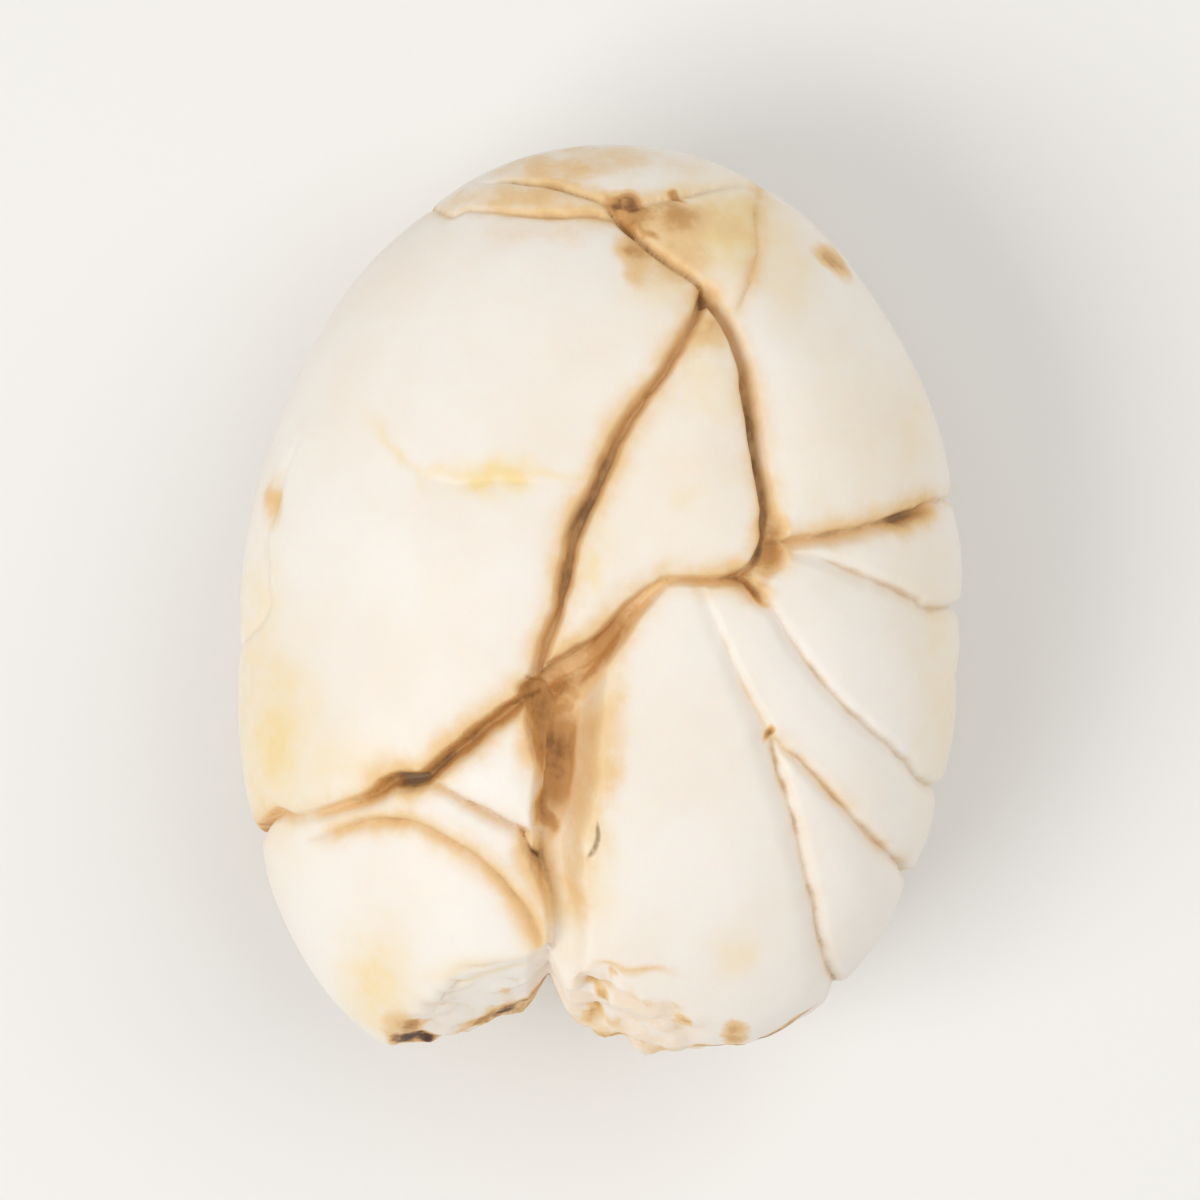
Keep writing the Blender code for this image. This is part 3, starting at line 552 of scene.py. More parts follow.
@dataclass(frozen=True)
class FoldedLobes:
    """The lobes: creases sunk into the body, with swellings between them.

    The lobes roll down beside a crease by pillow_depth within pillow_reach, in full if it is
    full_depth deep. A step's two levels meet over step_blend, end after step_reach, and fade
    over step_fade past the crease's end. A crease that runs out is still least_width of its
    width. Wobble and tremor bend the fold lines, unevenness varies their floors, and swell and
    dimple shape the lobes. Crease_shade_power keeps the painted shade line on the floors to the
    deep stretches, tan_spread widens the walls' colour, and tan_shares are the shares of depth at
    which it starts and is full. The halo beside a crease, painted shade with a warm tint, takes
    halo_gain times the colour's square for its strength, up to halo_most.
    """

    creases: tuple[Crease, ...] = CREASES
    pillow_reach: float = 2.4
    pillow_depth: float = 0.3
    full_depth: float = 0.5
    step_reach: float = 1.7
    step_blend: float = 0.06
    step_fade: float = 0.35
    least_width: float = 0.35
    wobble: float = 0.12
    wobble_size: float = 2.6
    tremor: float = 0.05
    tremor_size: float = 0.6
    unevenness: float = 0.05
    uneven_size: float = 1.1
    swell: float = 0.13
    swell_size: float = 5.5
    dimple: float = 0.03
    dimple_size: float = 1.4
    crease_shade_width: float = 0.1
    crease_shade_power: float = 5.0
    tan_spread: float = 1.35
    tan_shares: tuple[float, float] = (0.104, 0.974)
    halo_width: float = 0.6
    halo_gain: float = 2.6
    halo_most: float = 0.6

    def nearness(self, body: OvalBody, points: Array, normals: Array) -> Array:
        """Measures how near the creases are.

        Args:
            body: the oval that carries the lobes.
            points: places on the body.
            normals: the body's outward normals there.

        Returns:
            The distance from each point to the floor of the nearest crease.
        """
        nearest = np.full(len(points), Beside.REACH)
        for crease in self.creases:
            beside = Beside(crease, body, points, normals)
            past_floor = np.maximum(beside.distance - crease.floor, 0.0)
            nearest[beside.index] = np.minimum(nearest[beside.index], past_floor)
        return nearest

    @staticmethod
    def wall_share(climb: Array, ramp: Array) -> Array:
        """Share of the depth left at this climb of a wall.

        Args:
            climb: 0 at the wall's floor, 1 at its rim.
            ramp: 0 for a wall that rolls in, 1 for an open slope.

        Returns:
            1 at the floor, 0 at the rim.
        """
        climb = np.clip(climb, 0.0, 1.0)
        rolled = 1.0 - np.sqrt(1.0 - (1.0 - climb) ** 2)
        slope = 1.0 - smooth_share(climb)
        return rolled + ramp * (slope - rolled)

    def tints(self, crease: Crease, share: Array, past_floor: Array,
              tan_reach: Array) -> tuple[Array, Array, Array]:
        """Works out how a crease colours the points near it.

        Args:
            crease: the fold line.
            share: the share of its depth at each point.
            past_floor: each point's distance past the edge of the floor.
            tan_reach: how far the walls' colour spreads on the point's side.

        Returns:
            The strengths of the painted shade line, the walls' tan and the halo of painted shade
            and warm tint.
        """
        past_floor = np.maximum(past_floor, 0.0)
        # Painted shade: a dark line along the floor, kept to the crease's deep stretches.
        fade = np.exp(-((past_floor / self.crease_shade_width) ** 2))
        seam = crease.dark * share ** self.crease_shade_power * fade
        starts, full = self.tan_shares
        edge = crease.tan * np.exp(-((past_floor / (self.tan_spread * tan_reach)) ** 2))
        edge *= smooth_share((share - starts) / (full - starts))
        # The halo beside the crease: painted shade with a warm tint, fading with distance.
        halo_strength = min(self.halo_most, self.halo_gain * crease.tan ** 2) * share
        return seam, edge, halo_strength * np.exp(-past_floor / self.halo_width)

    def relief(self, body: OvalBody, points: Array, normals: Array) -> tuple[Array, Marks]:
        """Works out the relief of the lobes.

        Args:
            body: the oval that carries them.
            points: places on the body.
            normals: the body's outward normals there.

        Returns:
            How far the seed stands out from the body at each point, and the marks there.
        """
        wandered = points + self.wobble * wandering(points, self.wobble_size, NoiseLayer.WOBBLE)
        wandered += self.tremor * wandering(points, self.tremor_size, NoiseLayer.TREMOR)
        uneven = self.unevenness * wandering(points, self.uneven_size, NoiseLayer.FLOORS)[:, 0]
        pillow, steps = np.zeros((2, len(points)))
        marks = Marks(*np.zeros((4, len(points))))
        for crease in self.creases:
            beside = Beside(crease, body, wandered, normals)
            index, share, distance = beside.index, beside.share, beside.distance
            on_left = beside.side > 0
            narrowing = self.least_width + (1.0 - self.least_width) * share
            width = np.where(on_left, crease.left, crease.right) * narrowing
            ramp = np.where(on_left, crease.left_ramp, crease.right_ramp)
            past_floor = distance - (crease.floor + uneven[index]) * narrowing
            wall = crease.depth * share * self.wall_share(past_floor / width, ramp)
            tan_reach = np.where(on_left, crease.left_tan, crease.right_tan) * narrowing
            marks.raise_to(index, wall, *self.tints(crease, share, past_floor, tan_reach))
            roll = np.clip(1.0 - distance / self.pillow_reach, 0.0, 1.0) ** 2
            roll *= self.pillow_depth * min(1.0, crease.depth / self.full_depth) * share
            pillow[index] = np.maximum(pillow[index], roll)
            lap = np.tanh(beside.side / self.step_blend)
            falling = (distance / self.step_reach) ** 2 + (beside.beyond / self.step_fade) ** 2
            lap *= np.exp(-falling)
            steps[index] += 0.5 * crease.step * share * lap
        swelling = self.swell * wandering(points, self.swell_size, NoiseLayer.SWELLING)[:, 0]
        dimples = self.dimple * wandering(points, self.dimple_size, NoiseLayer.DIMPLES)[:, 1]
        return steps + swelling + dimples - marks.depth - pillow, marks


@dataclass(frozen=True)
class Bruise:
    """A brown spot on the torn edge, as seen from above."""

    x: float
    y: float
    reach: float
    strength: float


@dataclass
class Tissue:
    """The torn tissue at each point: its coarse and fine noise, its lumps, how crumbly it is."""

    ragged: Array
    fine: Array
    lumps: Array
    crumbly: Array


@dataclass(frozen=True)
class TornEnd:
    """The root end, where the root tip tore off and left layered, ragged tissue.

    Reach is how far the torn face stands from the middle at the places across. Above slope_from
    it falls back by slopes, and below undercut_from by undercut. Its layers end in terraces on
    the side past terrace_side, where ledge_share is the long side of each, and faintly on the
    other, by terrace_least. Crumbly lumps lie round lump_middle. A scar browns the face within
    an oval round scar_centre, and a dark rim runs along it at the height dark_rim. The values
    that end in sway are how far noise moves each of these.
    """

    across: tuple[float, ...] = (-9.0, -6.6, -4.4, -2.3, -1.65, -1.1, -0.3, 1.6, 4.3, 5.8, 7.6)
    reach: tuple[float, ...] = (13.3, 14.0, 13.6, 12.8, 11.7, 12.9, 13.5, 14.1, 13.95, 13.3, 12.3)
    slopes: tuple[float, ...] = (0.2, 0.32, 0.5, 0.36, 0.2, 0.3, 0.5, 0.42, 0.2, 0.14, 0.1)
    slope_from: float = 1.2
    undercut: float = 0.16
    undercut_from: float = -1.0
    face_sway: float = 0.22
    ragged_size: float = 1.5
    rounding: float = 0.12
    torn_edge: tuple[float, float] = (0.135, 0.3)
    terrace_rise: float = 0.46
    terrace_depth: float = 0.17
    terrace_sway: float = 0.3
    terrace_side: float = -1.6
    terrace_blend: float = 0.8
    terrace_least: float = 0.2
    ledge_share: float = 0.8
    layer_tint: float = 0.3
    lump_size: float = 0.85
    lump_depth: float = 0.42
    lump_middle: float = 0.6
    lump_reach: float = 2.3
    crumb_size: float = 0.5
    crumb_depths: tuple[float, float] = (0.05, 0.14)
    pit_centre: tuple[float, float] = (1.0, -1.2)
    pit_radius: float = 1.3
    pit_depth: float = 1.4
    pit_sway: float = 0.4
    scar_centre: tuple[float, float] = (0.3, -0.6)
    scar_radii: tuple[float, float] = (7.2, 3.6)
    scar_sway: tuple[float, float] = (1.3, 0.4)
    dark_rim: float = 1.45
    rim_width: float = 0.45
    rim_sway: tuple[float, float] = (0.55, 0.25)
    bruise_sway: float = 0.2
    bruises: tuple[Bruise, ...] = (
        Bruise(2.4, -13.1, 0.3, 0.6), Bruise(4.1, -13.5, 0.4, 0.5), Bruise(-0.4, -13.0, 0.25, 0.6),
        Bruise(0.1, -12.2, 0.22, 0.5), Bruise(1.4, -12.5, 0.2, 0.4), Bruise(-6.0, -13.4, 0.4, 0.75),
        Bruise(-2.9, -12.3, 0.3, 0.3))

    def tissue(self, points: Array) -> Tissue:
        """Works out the torn tissue, which doesn't change along the seed.

        Args:
            points: places in millimetres.

        Returns:
            The tissue at each point.
        """
        across = points * [[1.0, 0.0, 1.0]]
        off_middle = (points[:, 0] - self.lump_middle) / self.lump_reach
        return Tissue(
            ragged=wandering(across, self.ragged_size, NoiseLayer.TEAR),
            fine=wandering(across, self.crumb_size, NoiseLayer.CRUMBS),
            lumps=wandering(across, self.lump_size, NoiseLayer.LUMPS)[:, 0],
            crumbly=np.exp(-(off_middle ** 4)))

    def terraces(self, x: Array, face: Array, tissue: Tissue) -> tuple[Array, Array]:
        """Works out the ledges in which the torn layers end.

        Args:
            x: places across the seed.
            face: how far the face stands there.
            tissue: the torn tissue there.

        Returns:
            How far up its ledge each place is, from 0 to 1, and how clearly the ledges show.
        """
        phase = (face + self.terrace_sway * tissue.ragged[:, 1]) / self.terrace_rise
        ledge = phase - np.floor(phase)
        climbing, falling = ledge / self.ledge_share, (1.0 - ledge) / (1.0 - self.ledge_share)
        shown = smooth_share((self.terrace_side - x) / self.terrace_blend)
        shown = self.terrace_least + (1.0 - self.terrace_least) * shown
        shown *= smooth_share(0.65 + 1.1 * tissue.ragged[:, 0])
        return np.where(ledge < self.ledge_share, climbing, falling), shown

    def scars(self, x: Array, height: Array, tissue: Tissue) -> Array:
        """Works out the browning of the torn face.

        Args:
            x: places across the seed.
            height: their heights over its middle.
            tissue: the torn tissue there.

        Returns:
            How brown each place is.
        """
        coarse, fine = self.scar_sway
        wander = height + coarse * tissue.ragged[:, 2] + fine * tissue.fine[:, 1]
        off_x = (x - self.scar_centre[0]) / self.scar_radii[0]
        off_height = (wander - self.scar_centre[1]) / self.scar_radii[1]
        scar = smooth_share(1.3 * (1.0 - off_x ** 2 - off_height ** 2))
        scar *= 0.42 + 0.4 * tissue.fine[:, 2]
        coarse, fine = self.rim_sway
        wander = height + coarse * tissue.ragged[:, 0] + fine * tissue.fine[:, 0]
        rim = np.exp(-(((wander - self.dark_rim) / self.rim_width) ** 2))
        rim *= smooth_share(0.8 + tissue.ragged[:, 1])
        scar = np.maximum(scar, rim) * (1.05 - 0.5 * tissue.crumbly)
        hollow = -tissue.crumbly * (0.6 * tissue.lumps + 0.9 * tissue.fine[:, 0]) - 0.08
        return np.maximum(scar, np.clip(hollow, 0.0, 0.75))

    def cut_back(self, points: Array) -> tuple[Array, Array]:
        """Cuts the points back to the torn face.

        Args:
            points: places in millimetres, which are moved.

        Returns:
            How far each point lies on the torn face, and how brown the tissue is there.
        """
        x, height = points[:, 0], points[:, 2]
        tissue = self.tissue(points)
        slope = np.interp(x, self.across, self.slopes)
        face = np.interp(x, self.across, self.reach)
        face = face - slope * np.maximum(height - self.slope_from, 0.0)
        face = face - self.undercut * np.maximum(self.undercut_from - height, 0.0)
        ledge, layered = self.terraces(x, face, tissue)
        from_pit = np.hypot(x - self.pit_centre[0], height - self.pit_centre[1])
        from_pit = from_pit + self.pit_sway * tissue.ragged[:, 2]
        face = face - self.terrace_depth * layered * ledge
        face = face - self.pit_depth * smooth_share(1.3 - from_pit / self.pit_radius)
        least, more = self.crumb_depths
        face = face + self.face_sway * tissue.ragged[:, 0]
        face = face + (least + more * tissue.crumbly) * tissue.fine[:, 0]
        face = face + self.lump_depth * tissue.crumbly * tissue.lumps
        beyond = points[:, 1] + face
        points[:, 1] = self.rounding * np.logaddexp(0.0, beyond / self.rounding) - face
        edge, blend = self.torn_edge
        torn = smooth_share((edge - beyond) / blend)
        layers = self.layer_tint * layered * np.clip(1.0 - 3.0 * np.abs(ledge - 0.9), 0.0, 1.0)
        scab = torn * np.maximum(self.scars(x, height, tissue), layers)
        for bruise in self.bruises:
            away = np.hypot(x - bruise.x, points[:, 1] - bruise.y)
            away = (away + self.bruise_sway * tissue.fine[:, 1]) / bruise.reach
            spot = bruise.strength * smooth_share(1.3 - 0.8 * away) * smooth_share(height)
            scab = np.maximum(scab, spot)
        return torn * (0.15 + 0.85 * tissue.crumbly), scab


class PatchColour(Enum):
    """The patches' colours, for staining and for painted shade, and their places in the patches'
    attribute.
    """

    OCHRE = 0
    TAN = 1
    BROWN = 2


@dataclass(frozen=True)
class ColourPatch:
    """A soft-edged patch of colour, whose first radius is turned from +X by turn, in degrees."""

    kind: PatchColour
    centre: Waypoint
    radii: tuple[float, float]
    strength: float
    turn: float = 0.0


# Soft patches of colour: staining of the flesh, and painted shade where a comment says so.
STAINS_AND_SHADE = (
    # The yellow smear across the large left lobe
    ColourPatch(PatchColour.OCHRE, upper(-3.3, 3.6), (0.95, 0.42), 1.25),
    ColourPatch(PatchColour.OCHRE, upper(-1.9, 3.6), (1.1, 0.2), 0.55),
    ColourPatch(PatchColour.OCHRE, upper(-4.7, 3.65), (0.9, 0.18), 0.5, -10.0),
    ColourPatch(PatchColour.OCHRE, upper(-6.2, 4.35), (1.2, 0.2), 0.5, -48.0),
    # The large left lobe yellows towards its lower left corner
    ColourPatch(PatchColour.OCHRE, upper(-10.2, -4.6), (1.1, 2.4), 0.8),
    ColourPatch(PatchColour.OCHRE, upper(-8.6, -5.3), (1.8, 1.1), 0.4),
    ColourPatch(PatchColour.OCHRE, upper(-10.6, -1.6), (0.7, 2.4), 0.45),
    ColourPatch(PatchColour.TAN, upper(-10.2, 2.9), (0.4, 0.8), 0.6),
    # Brown in the notch beside the small triangular lobe
    ColourPatch(PatchColour.BROWN, upper(-5.95, -5.72), (0.75, 0.16), 0.9),
    # The closed end
    ColourPatch(PatchColour.BROWN, upper(0.85, 11.85), (0.8, 0.4), 1.2, -28.0),
    ColourPatch(PatchColour.BROWN, upper(1.4, 11.4), (0.5, 0.14), 0.9, -42.0),
    ColourPatch(PatchColour.BROWN, upper(2.3, 12.25), (0.4, 0.13), 0.85),
    ColourPatch(PatchColour.TAN, upper(2.2, 11.6), (1.15, 0.75), 0.92, -12.0),
    ColourPatch(PatchColour.TAN, upper(1.1, 10.6), (0.6, 0.9), 1.0, 12.0),
    ColourPatch(PatchColour.TAN, upper(2.1, 10.6), (1.5, 0.95), 0.72, -38.0),
    ColourPatch(PatchColour.OCHRE, upper(1.7, 9.7), (1.0, 1.4), 0.4),
    ColourPatch(PatchColour.OCHRE, upper(3.8, 11.3), (1.5, 1.2), 1.2),
    ColourPatch(PatchColour.TAN, upper(3.7, 11.4), (1.4, 1.0), 0.42),
    ColourPatch(PatchColour.OCHRE, upper(3.7, 9.9), (0.9, 1.0), 0.4),
    ColourPatch(PatchColour.OCHRE, upper(5.5, 10.6), (0.8, 2.0), 0.4, 10.0),
    # Tan over the crown: partly the leaf's own tan, partly painted shade where the crown curves
    # away to its outline, and painted shadow under the leaf's lower fold.
    ColourPatch(PatchColour.TAN, upper(-2.2, 12.3), (2.8, 0.6), 0.62),
    ColourPatch(PatchColour.TAN, upper(-1.0, 13.2), (2.8, 0.7), 0.58, 8.0),
    ColourPatch(PatchColour.TAN, upper(2.4, 13.2), (1.8, 0.5), 0.3),
    ColourPatch(PatchColour.TAN, upper(-1.6, 11.35), (3.2, 0.8), 0.34),
    ColourPatch(PatchColour.TAN, upper(7.15, 10.35), (0.6, 0.5), 0.95, -40.0),
    # The slit at the top of the teardrop lobe
    ColourPatch(PatchColour.BROWN, upper(3.2, 9.35), (0.12, 0.36), 1.3, 25.0),
    # The teardrop lobe
    ColourPatch(PatchColour.TAN, upper(3.35, 8.2), (0.7, 0.95), 0.75),
    ColourPatch(PatchColour.OCHRE, upper(3.2, 6.7), (1.0, 1.6), 0.4),
    ColourPatch(PatchColour.OCHRE, upper(2.4, 3.8), (2.2, 3.0), 0.16),
    ColourPatch(PatchColour.OCHRE, upper(-0.35, 0.8), (0.35, 0.55), 0.8),
    ColourPatch(PatchColour.OCHRE, upper(-0.1, 2.2), (0.4, 1.1), 0.35, 20.0),
    ColourPatch(PatchColour.OCHRE, upper(2.5, 3.0), (0.5, 0.5), 0.35),
    # The long right lobe and the fan
    ColourPatch(PatchColour.OCHRE, upper(7.8, 4.6), (2.4, 3.0), 0.22),
    # Painted shade: yellow-tan along the right edges, where the lobes turn away from the light.
    ColourPatch(PatchColour.OCHRE, upper(10.5, -3.0), (0.8, 3.2), 0.35),
    ColourPatch(PatchColour.OCHRE, upper(9.8, 5.5), (0.8, 3.0), 0.3, -20.0),
    ColourPatch(PatchColour.TAN, upper(5.35, 2.1), (0.4, 0.9), 0.8),
    ColourPatch(PatchColour.BROWN, upper(5.0, 1.45), (0.3, 0.6), 0.9),
    ColourPatch(PatchColour.BROWN, upper(4.75, 0.1), (0.6, 0.13), 0.95, -50.0),
    ColourPatch(PatchColour.BROWN, upper(5.13, -4.3), (0.14, 0.32), 1.0, 6.0),
    # The valley's brown floor and its amber side
    ColourPatch(PatchColour.BROWN, upper(-1.35, -2.85), (0.7, 0.35), 0.75, 20.0),
    ColourPatch(PatchColour.TAN, upper(-0.3, -5.0), (0.9, 2.8), 0.62, -6.0),
    ColourPatch(PatchColour.TAN, upper(-0.75, -8.8), (0.6, 1.9), 0.48, -2.0),
    ColourPatch(PatchColour.BROWN, upper(-1.6, -3.5), (0.7, 0.8), 0.85, -14.0),
    ColourPatch(PatchColour.BROWN, upper(-1.62, -5.2), (0.36, 1.1), 0.9, -3.0),
    ColourPatch(PatchColour.BROWN, upper(-1.74, -6.7), (0.22, 1.1), 0.85),
    ColourPatch(PatchColour.OCHRE, upper(-0.4, -8.2), (0.6, 2.4), 0.5),
    ColourPatch(PatchColour.OCHRE, upper(-0.35, -3.6), (0.7, 1.4), 0.6, -8.0),
    ColourPatch(PatchColour.OCHRE, upper(-0.6, -5.4), (0.7, 3.2), 0.7, -4.0),
    ColourPatch(PatchColour.OCHRE, upper(-1.0, -9.0), (0.6, 1.6), 0.7),
    # The root end
    ColourPatch(PatchColour.OCHRE, upper(4.2, -11.0), (0.55, 0.55), 0.5),
    ColourPatch(PatchColour.OCHRE, upper(-7.0, -12.2), (0.9, 1.5), 0.75),
    ColourPatch(PatchColour.OCHRE, upper(-4.2, -11.6), (1.5, 0.3), 0.5, 8.0),
    ColourPatch(PatchColour.OCHRE, upper(-3.3, -12.6), (1.2, 0.3), 0.6, 10.0),
    ColourPatch(PatchColour.TAN, upper(-6.3, -13.4), (0.45, 0.6), 0.9),
    ColourPatch(PatchColour.TAN, upper(1.0, -11.5), (1.3, 0.2), 0.6, -6.0),
    # Underside
    ColourPatch(PatchColour.OCHRE, under(3.0, -4.6), (2.2, 1.6), 0.5),
    ColourPatch(PatchColour.TAN, under(-6.2, 5.4), (1.4, 0.9), 0.7),
    ColourPatch(PatchColour.BROWN, under(6.6, 5.4), (0.7, 0.5), 0.8),
    ColourPatch(PatchColour.OCHRE, under(-3.4, -8.4), (1.6, 2.2), 0.4),
)


class Wire:
    """A shader socket whose value can be used in Python expressions."""

    def __init__(self, graph: ShaderGraph, socket: bpy.types.NodeSocket) -> None:
        """Keeps the socket and the graph that it belongs to."""
        self.graph = graph
        self.socket = socket

    def __add__(self, other: Any) -> Wire:
        """This value plus another."""
        return self.graph.maths("ADD", self, other)

    def __radd__(self, other: Any) -> Wire:
        """Another value plus this one."""
        return self.graph.maths("ADD", other, self)

    def __sub__(self, other: Any) -> Wire:
        """This value less another."""
        return self.graph.maths("SUBTRACT", self, other)

    def __rsub__(self, other: Any) -> Wire:
        """Another value less this one."""
        return self.graph.maths("SUBTRACT", other, self)

    def __mul__(self, other: Any) -> Wire:
        """This value times another."""
        return self.graph.maths("MULTIPLY", self, other)

    def __rmul__(self, other: Any) -> Wire:
        """Another value times this one."""
        return self.graph.maths("MULTIPLY", other, self)

    def __pow__(self, other: Any) -> Wire:
        """This value to a power."""
        return self.graph.maths("POWER", self, other)

    def larger(self, other: Any) -> Wire:
        """The larger of this value and another."""
        return self.graph.maths("MAXIMUM", self, other)

    def clamped(self) -> Wire:
        """This value kept between 0 and 1."""
        return self.graph.add("ShaderNodeClamp", {}, {"Value": self})

    def eased(self, low: float, high: float) -> Wire:
        """Eases this value in and out between 0 and 1.

        Args:
            low: the value that gives 0.
            high: the value that gives 1.

        Returns:
            The eased value's wire.
        """
        settings = {"interpolation_type": "SMOOTHSTEP"}
        inputs = {"Value": self, "From Min": low, "From Max": high}
        return self.graph.add("ShaderNodeMapRange", settings, inputs)


class ShaderGraph:
    """Builds the nodes of one material."""

    MIX_FACTOR, MIX_A, MIX_B, MIX_RESULT = 0, 6, 7, 2

    def __init__(self, name: str) -> None:
        """Makes a material that holds only a Principled surface."""
        self.material = bpy.data.materials.new(name)
        self.material.use_nodes = True
        self.tree = self.material.node_tree
        self.surface = self.tree.nodes["Principled BSDF"]

    def join(self, value: Any, socket: bpy.types.NodeSocket) -> None:
        """Links a wire to a socket, or sets the socket's own value.

        Args:
            value: a wire or a plain value.
            socket: the input that takes it.
        """
        if isinstance(value, Wire):
            self.tree.links.new(value.socket, socket)
        else:
            socket.default_value = value

    def add(self, kind: str, settings: dict[str, Any], inputs: dict[Any, Any],
            output: Any = 0) -> Wire:
        """Adds a node.

        Args:
            kind: the node's type.
            settings: what is set on the node first.
            inputs: a value or a wire for each socket, by name or place.
            output: the socket to read, by name or place.

        Returns:
            The wire of that output.
        """
        node = self.tree.nodes.new(kind)
        for key, value in settings.items():
            setattr(node, key, value)
        for key, value in inputs.items():
            self.join(value, node.inputs[key])
        return Wire(self, node.outputs[output])

    def maths(self, operation: str, first: Any, second: Any) -> Wire:
        """Adds a Math node."""
        return self.add("ShaderNodeMath", {"operation": operation}, {0: first, 1: second})

    def mix(self, factor: Any, first: Any, second: Any) -> Wire:
        """Mixes two colours.

        Args:
            factor: 0 for the first colour, 1 for the second.
            first: a wire or three numbers.
            second: a wire or three numbers.

        Returns:
            The mixed colour's wire.
        """
        settings = {"data_type": "RGBA", "clamp_factor": True}
        colours = [c if isinstance(c, Wire) else (*c, 1.0) for c in (first, second)]
        inputs = {self.MIX_FACTOR: factor, self.MIX_A: colours[0], self.MIX_B: colours[1]}
        return self.add("ShaderNodeMix", settings, inputs, self.MIX_RESULT)

    def attribute(self, name: str) -> list[Wire]:
        """Reads a vector attribute.

        Args:
            name: the attribute's name.

        Returns:
            The wires of its three parts.
        """
        vector = self.add("ShaderNodeAttribute", {"attribute_name": name}, {}, "Vector")
        parts = self.add("ShaderNodeSeparateXYZ", {}, {"Vector": vector}).socket.node.outputs
        return [Wire(self, part) for part in parts]

    def place(self) -> Wire:
        """Object coordinates."""
        return self.add("ShaderNodeTexCoord", {}, {}, "Object")

    def noise(self, size: float, detail: float = 3.0, roughness: float = 0.5,
              stretch: tuple[float, float, float] = (1.0, 1.0, 1.0)) -> Wire:
        """Noise from 0 to 1.

        Args:
            size: width of its features in metres.
            detail: octaves.
            roughness: strength of each finer octave.
            stretch: scale along each axis, under 1 to draw it out.

        Returns:
            The noise's wire.
        """
        scaled = self.add("ShaderNodeMapping", {}, {"Vector": self.place(), "Scale": stretch})
        inputs = {"Vector": scaled, "Scale": 1.0 / size, "Detail": detail, "Roughness": roughness}
        return self.add("ShaderNodeTexNoise", {}, inputs)

    def dress(self, sockets: dict[str, Any]) -> None:
        """Sets or links the surface's sockets, given by their names."""
        for name, value in sockets.items():
            self.join(value, self.surface.inputs[name])


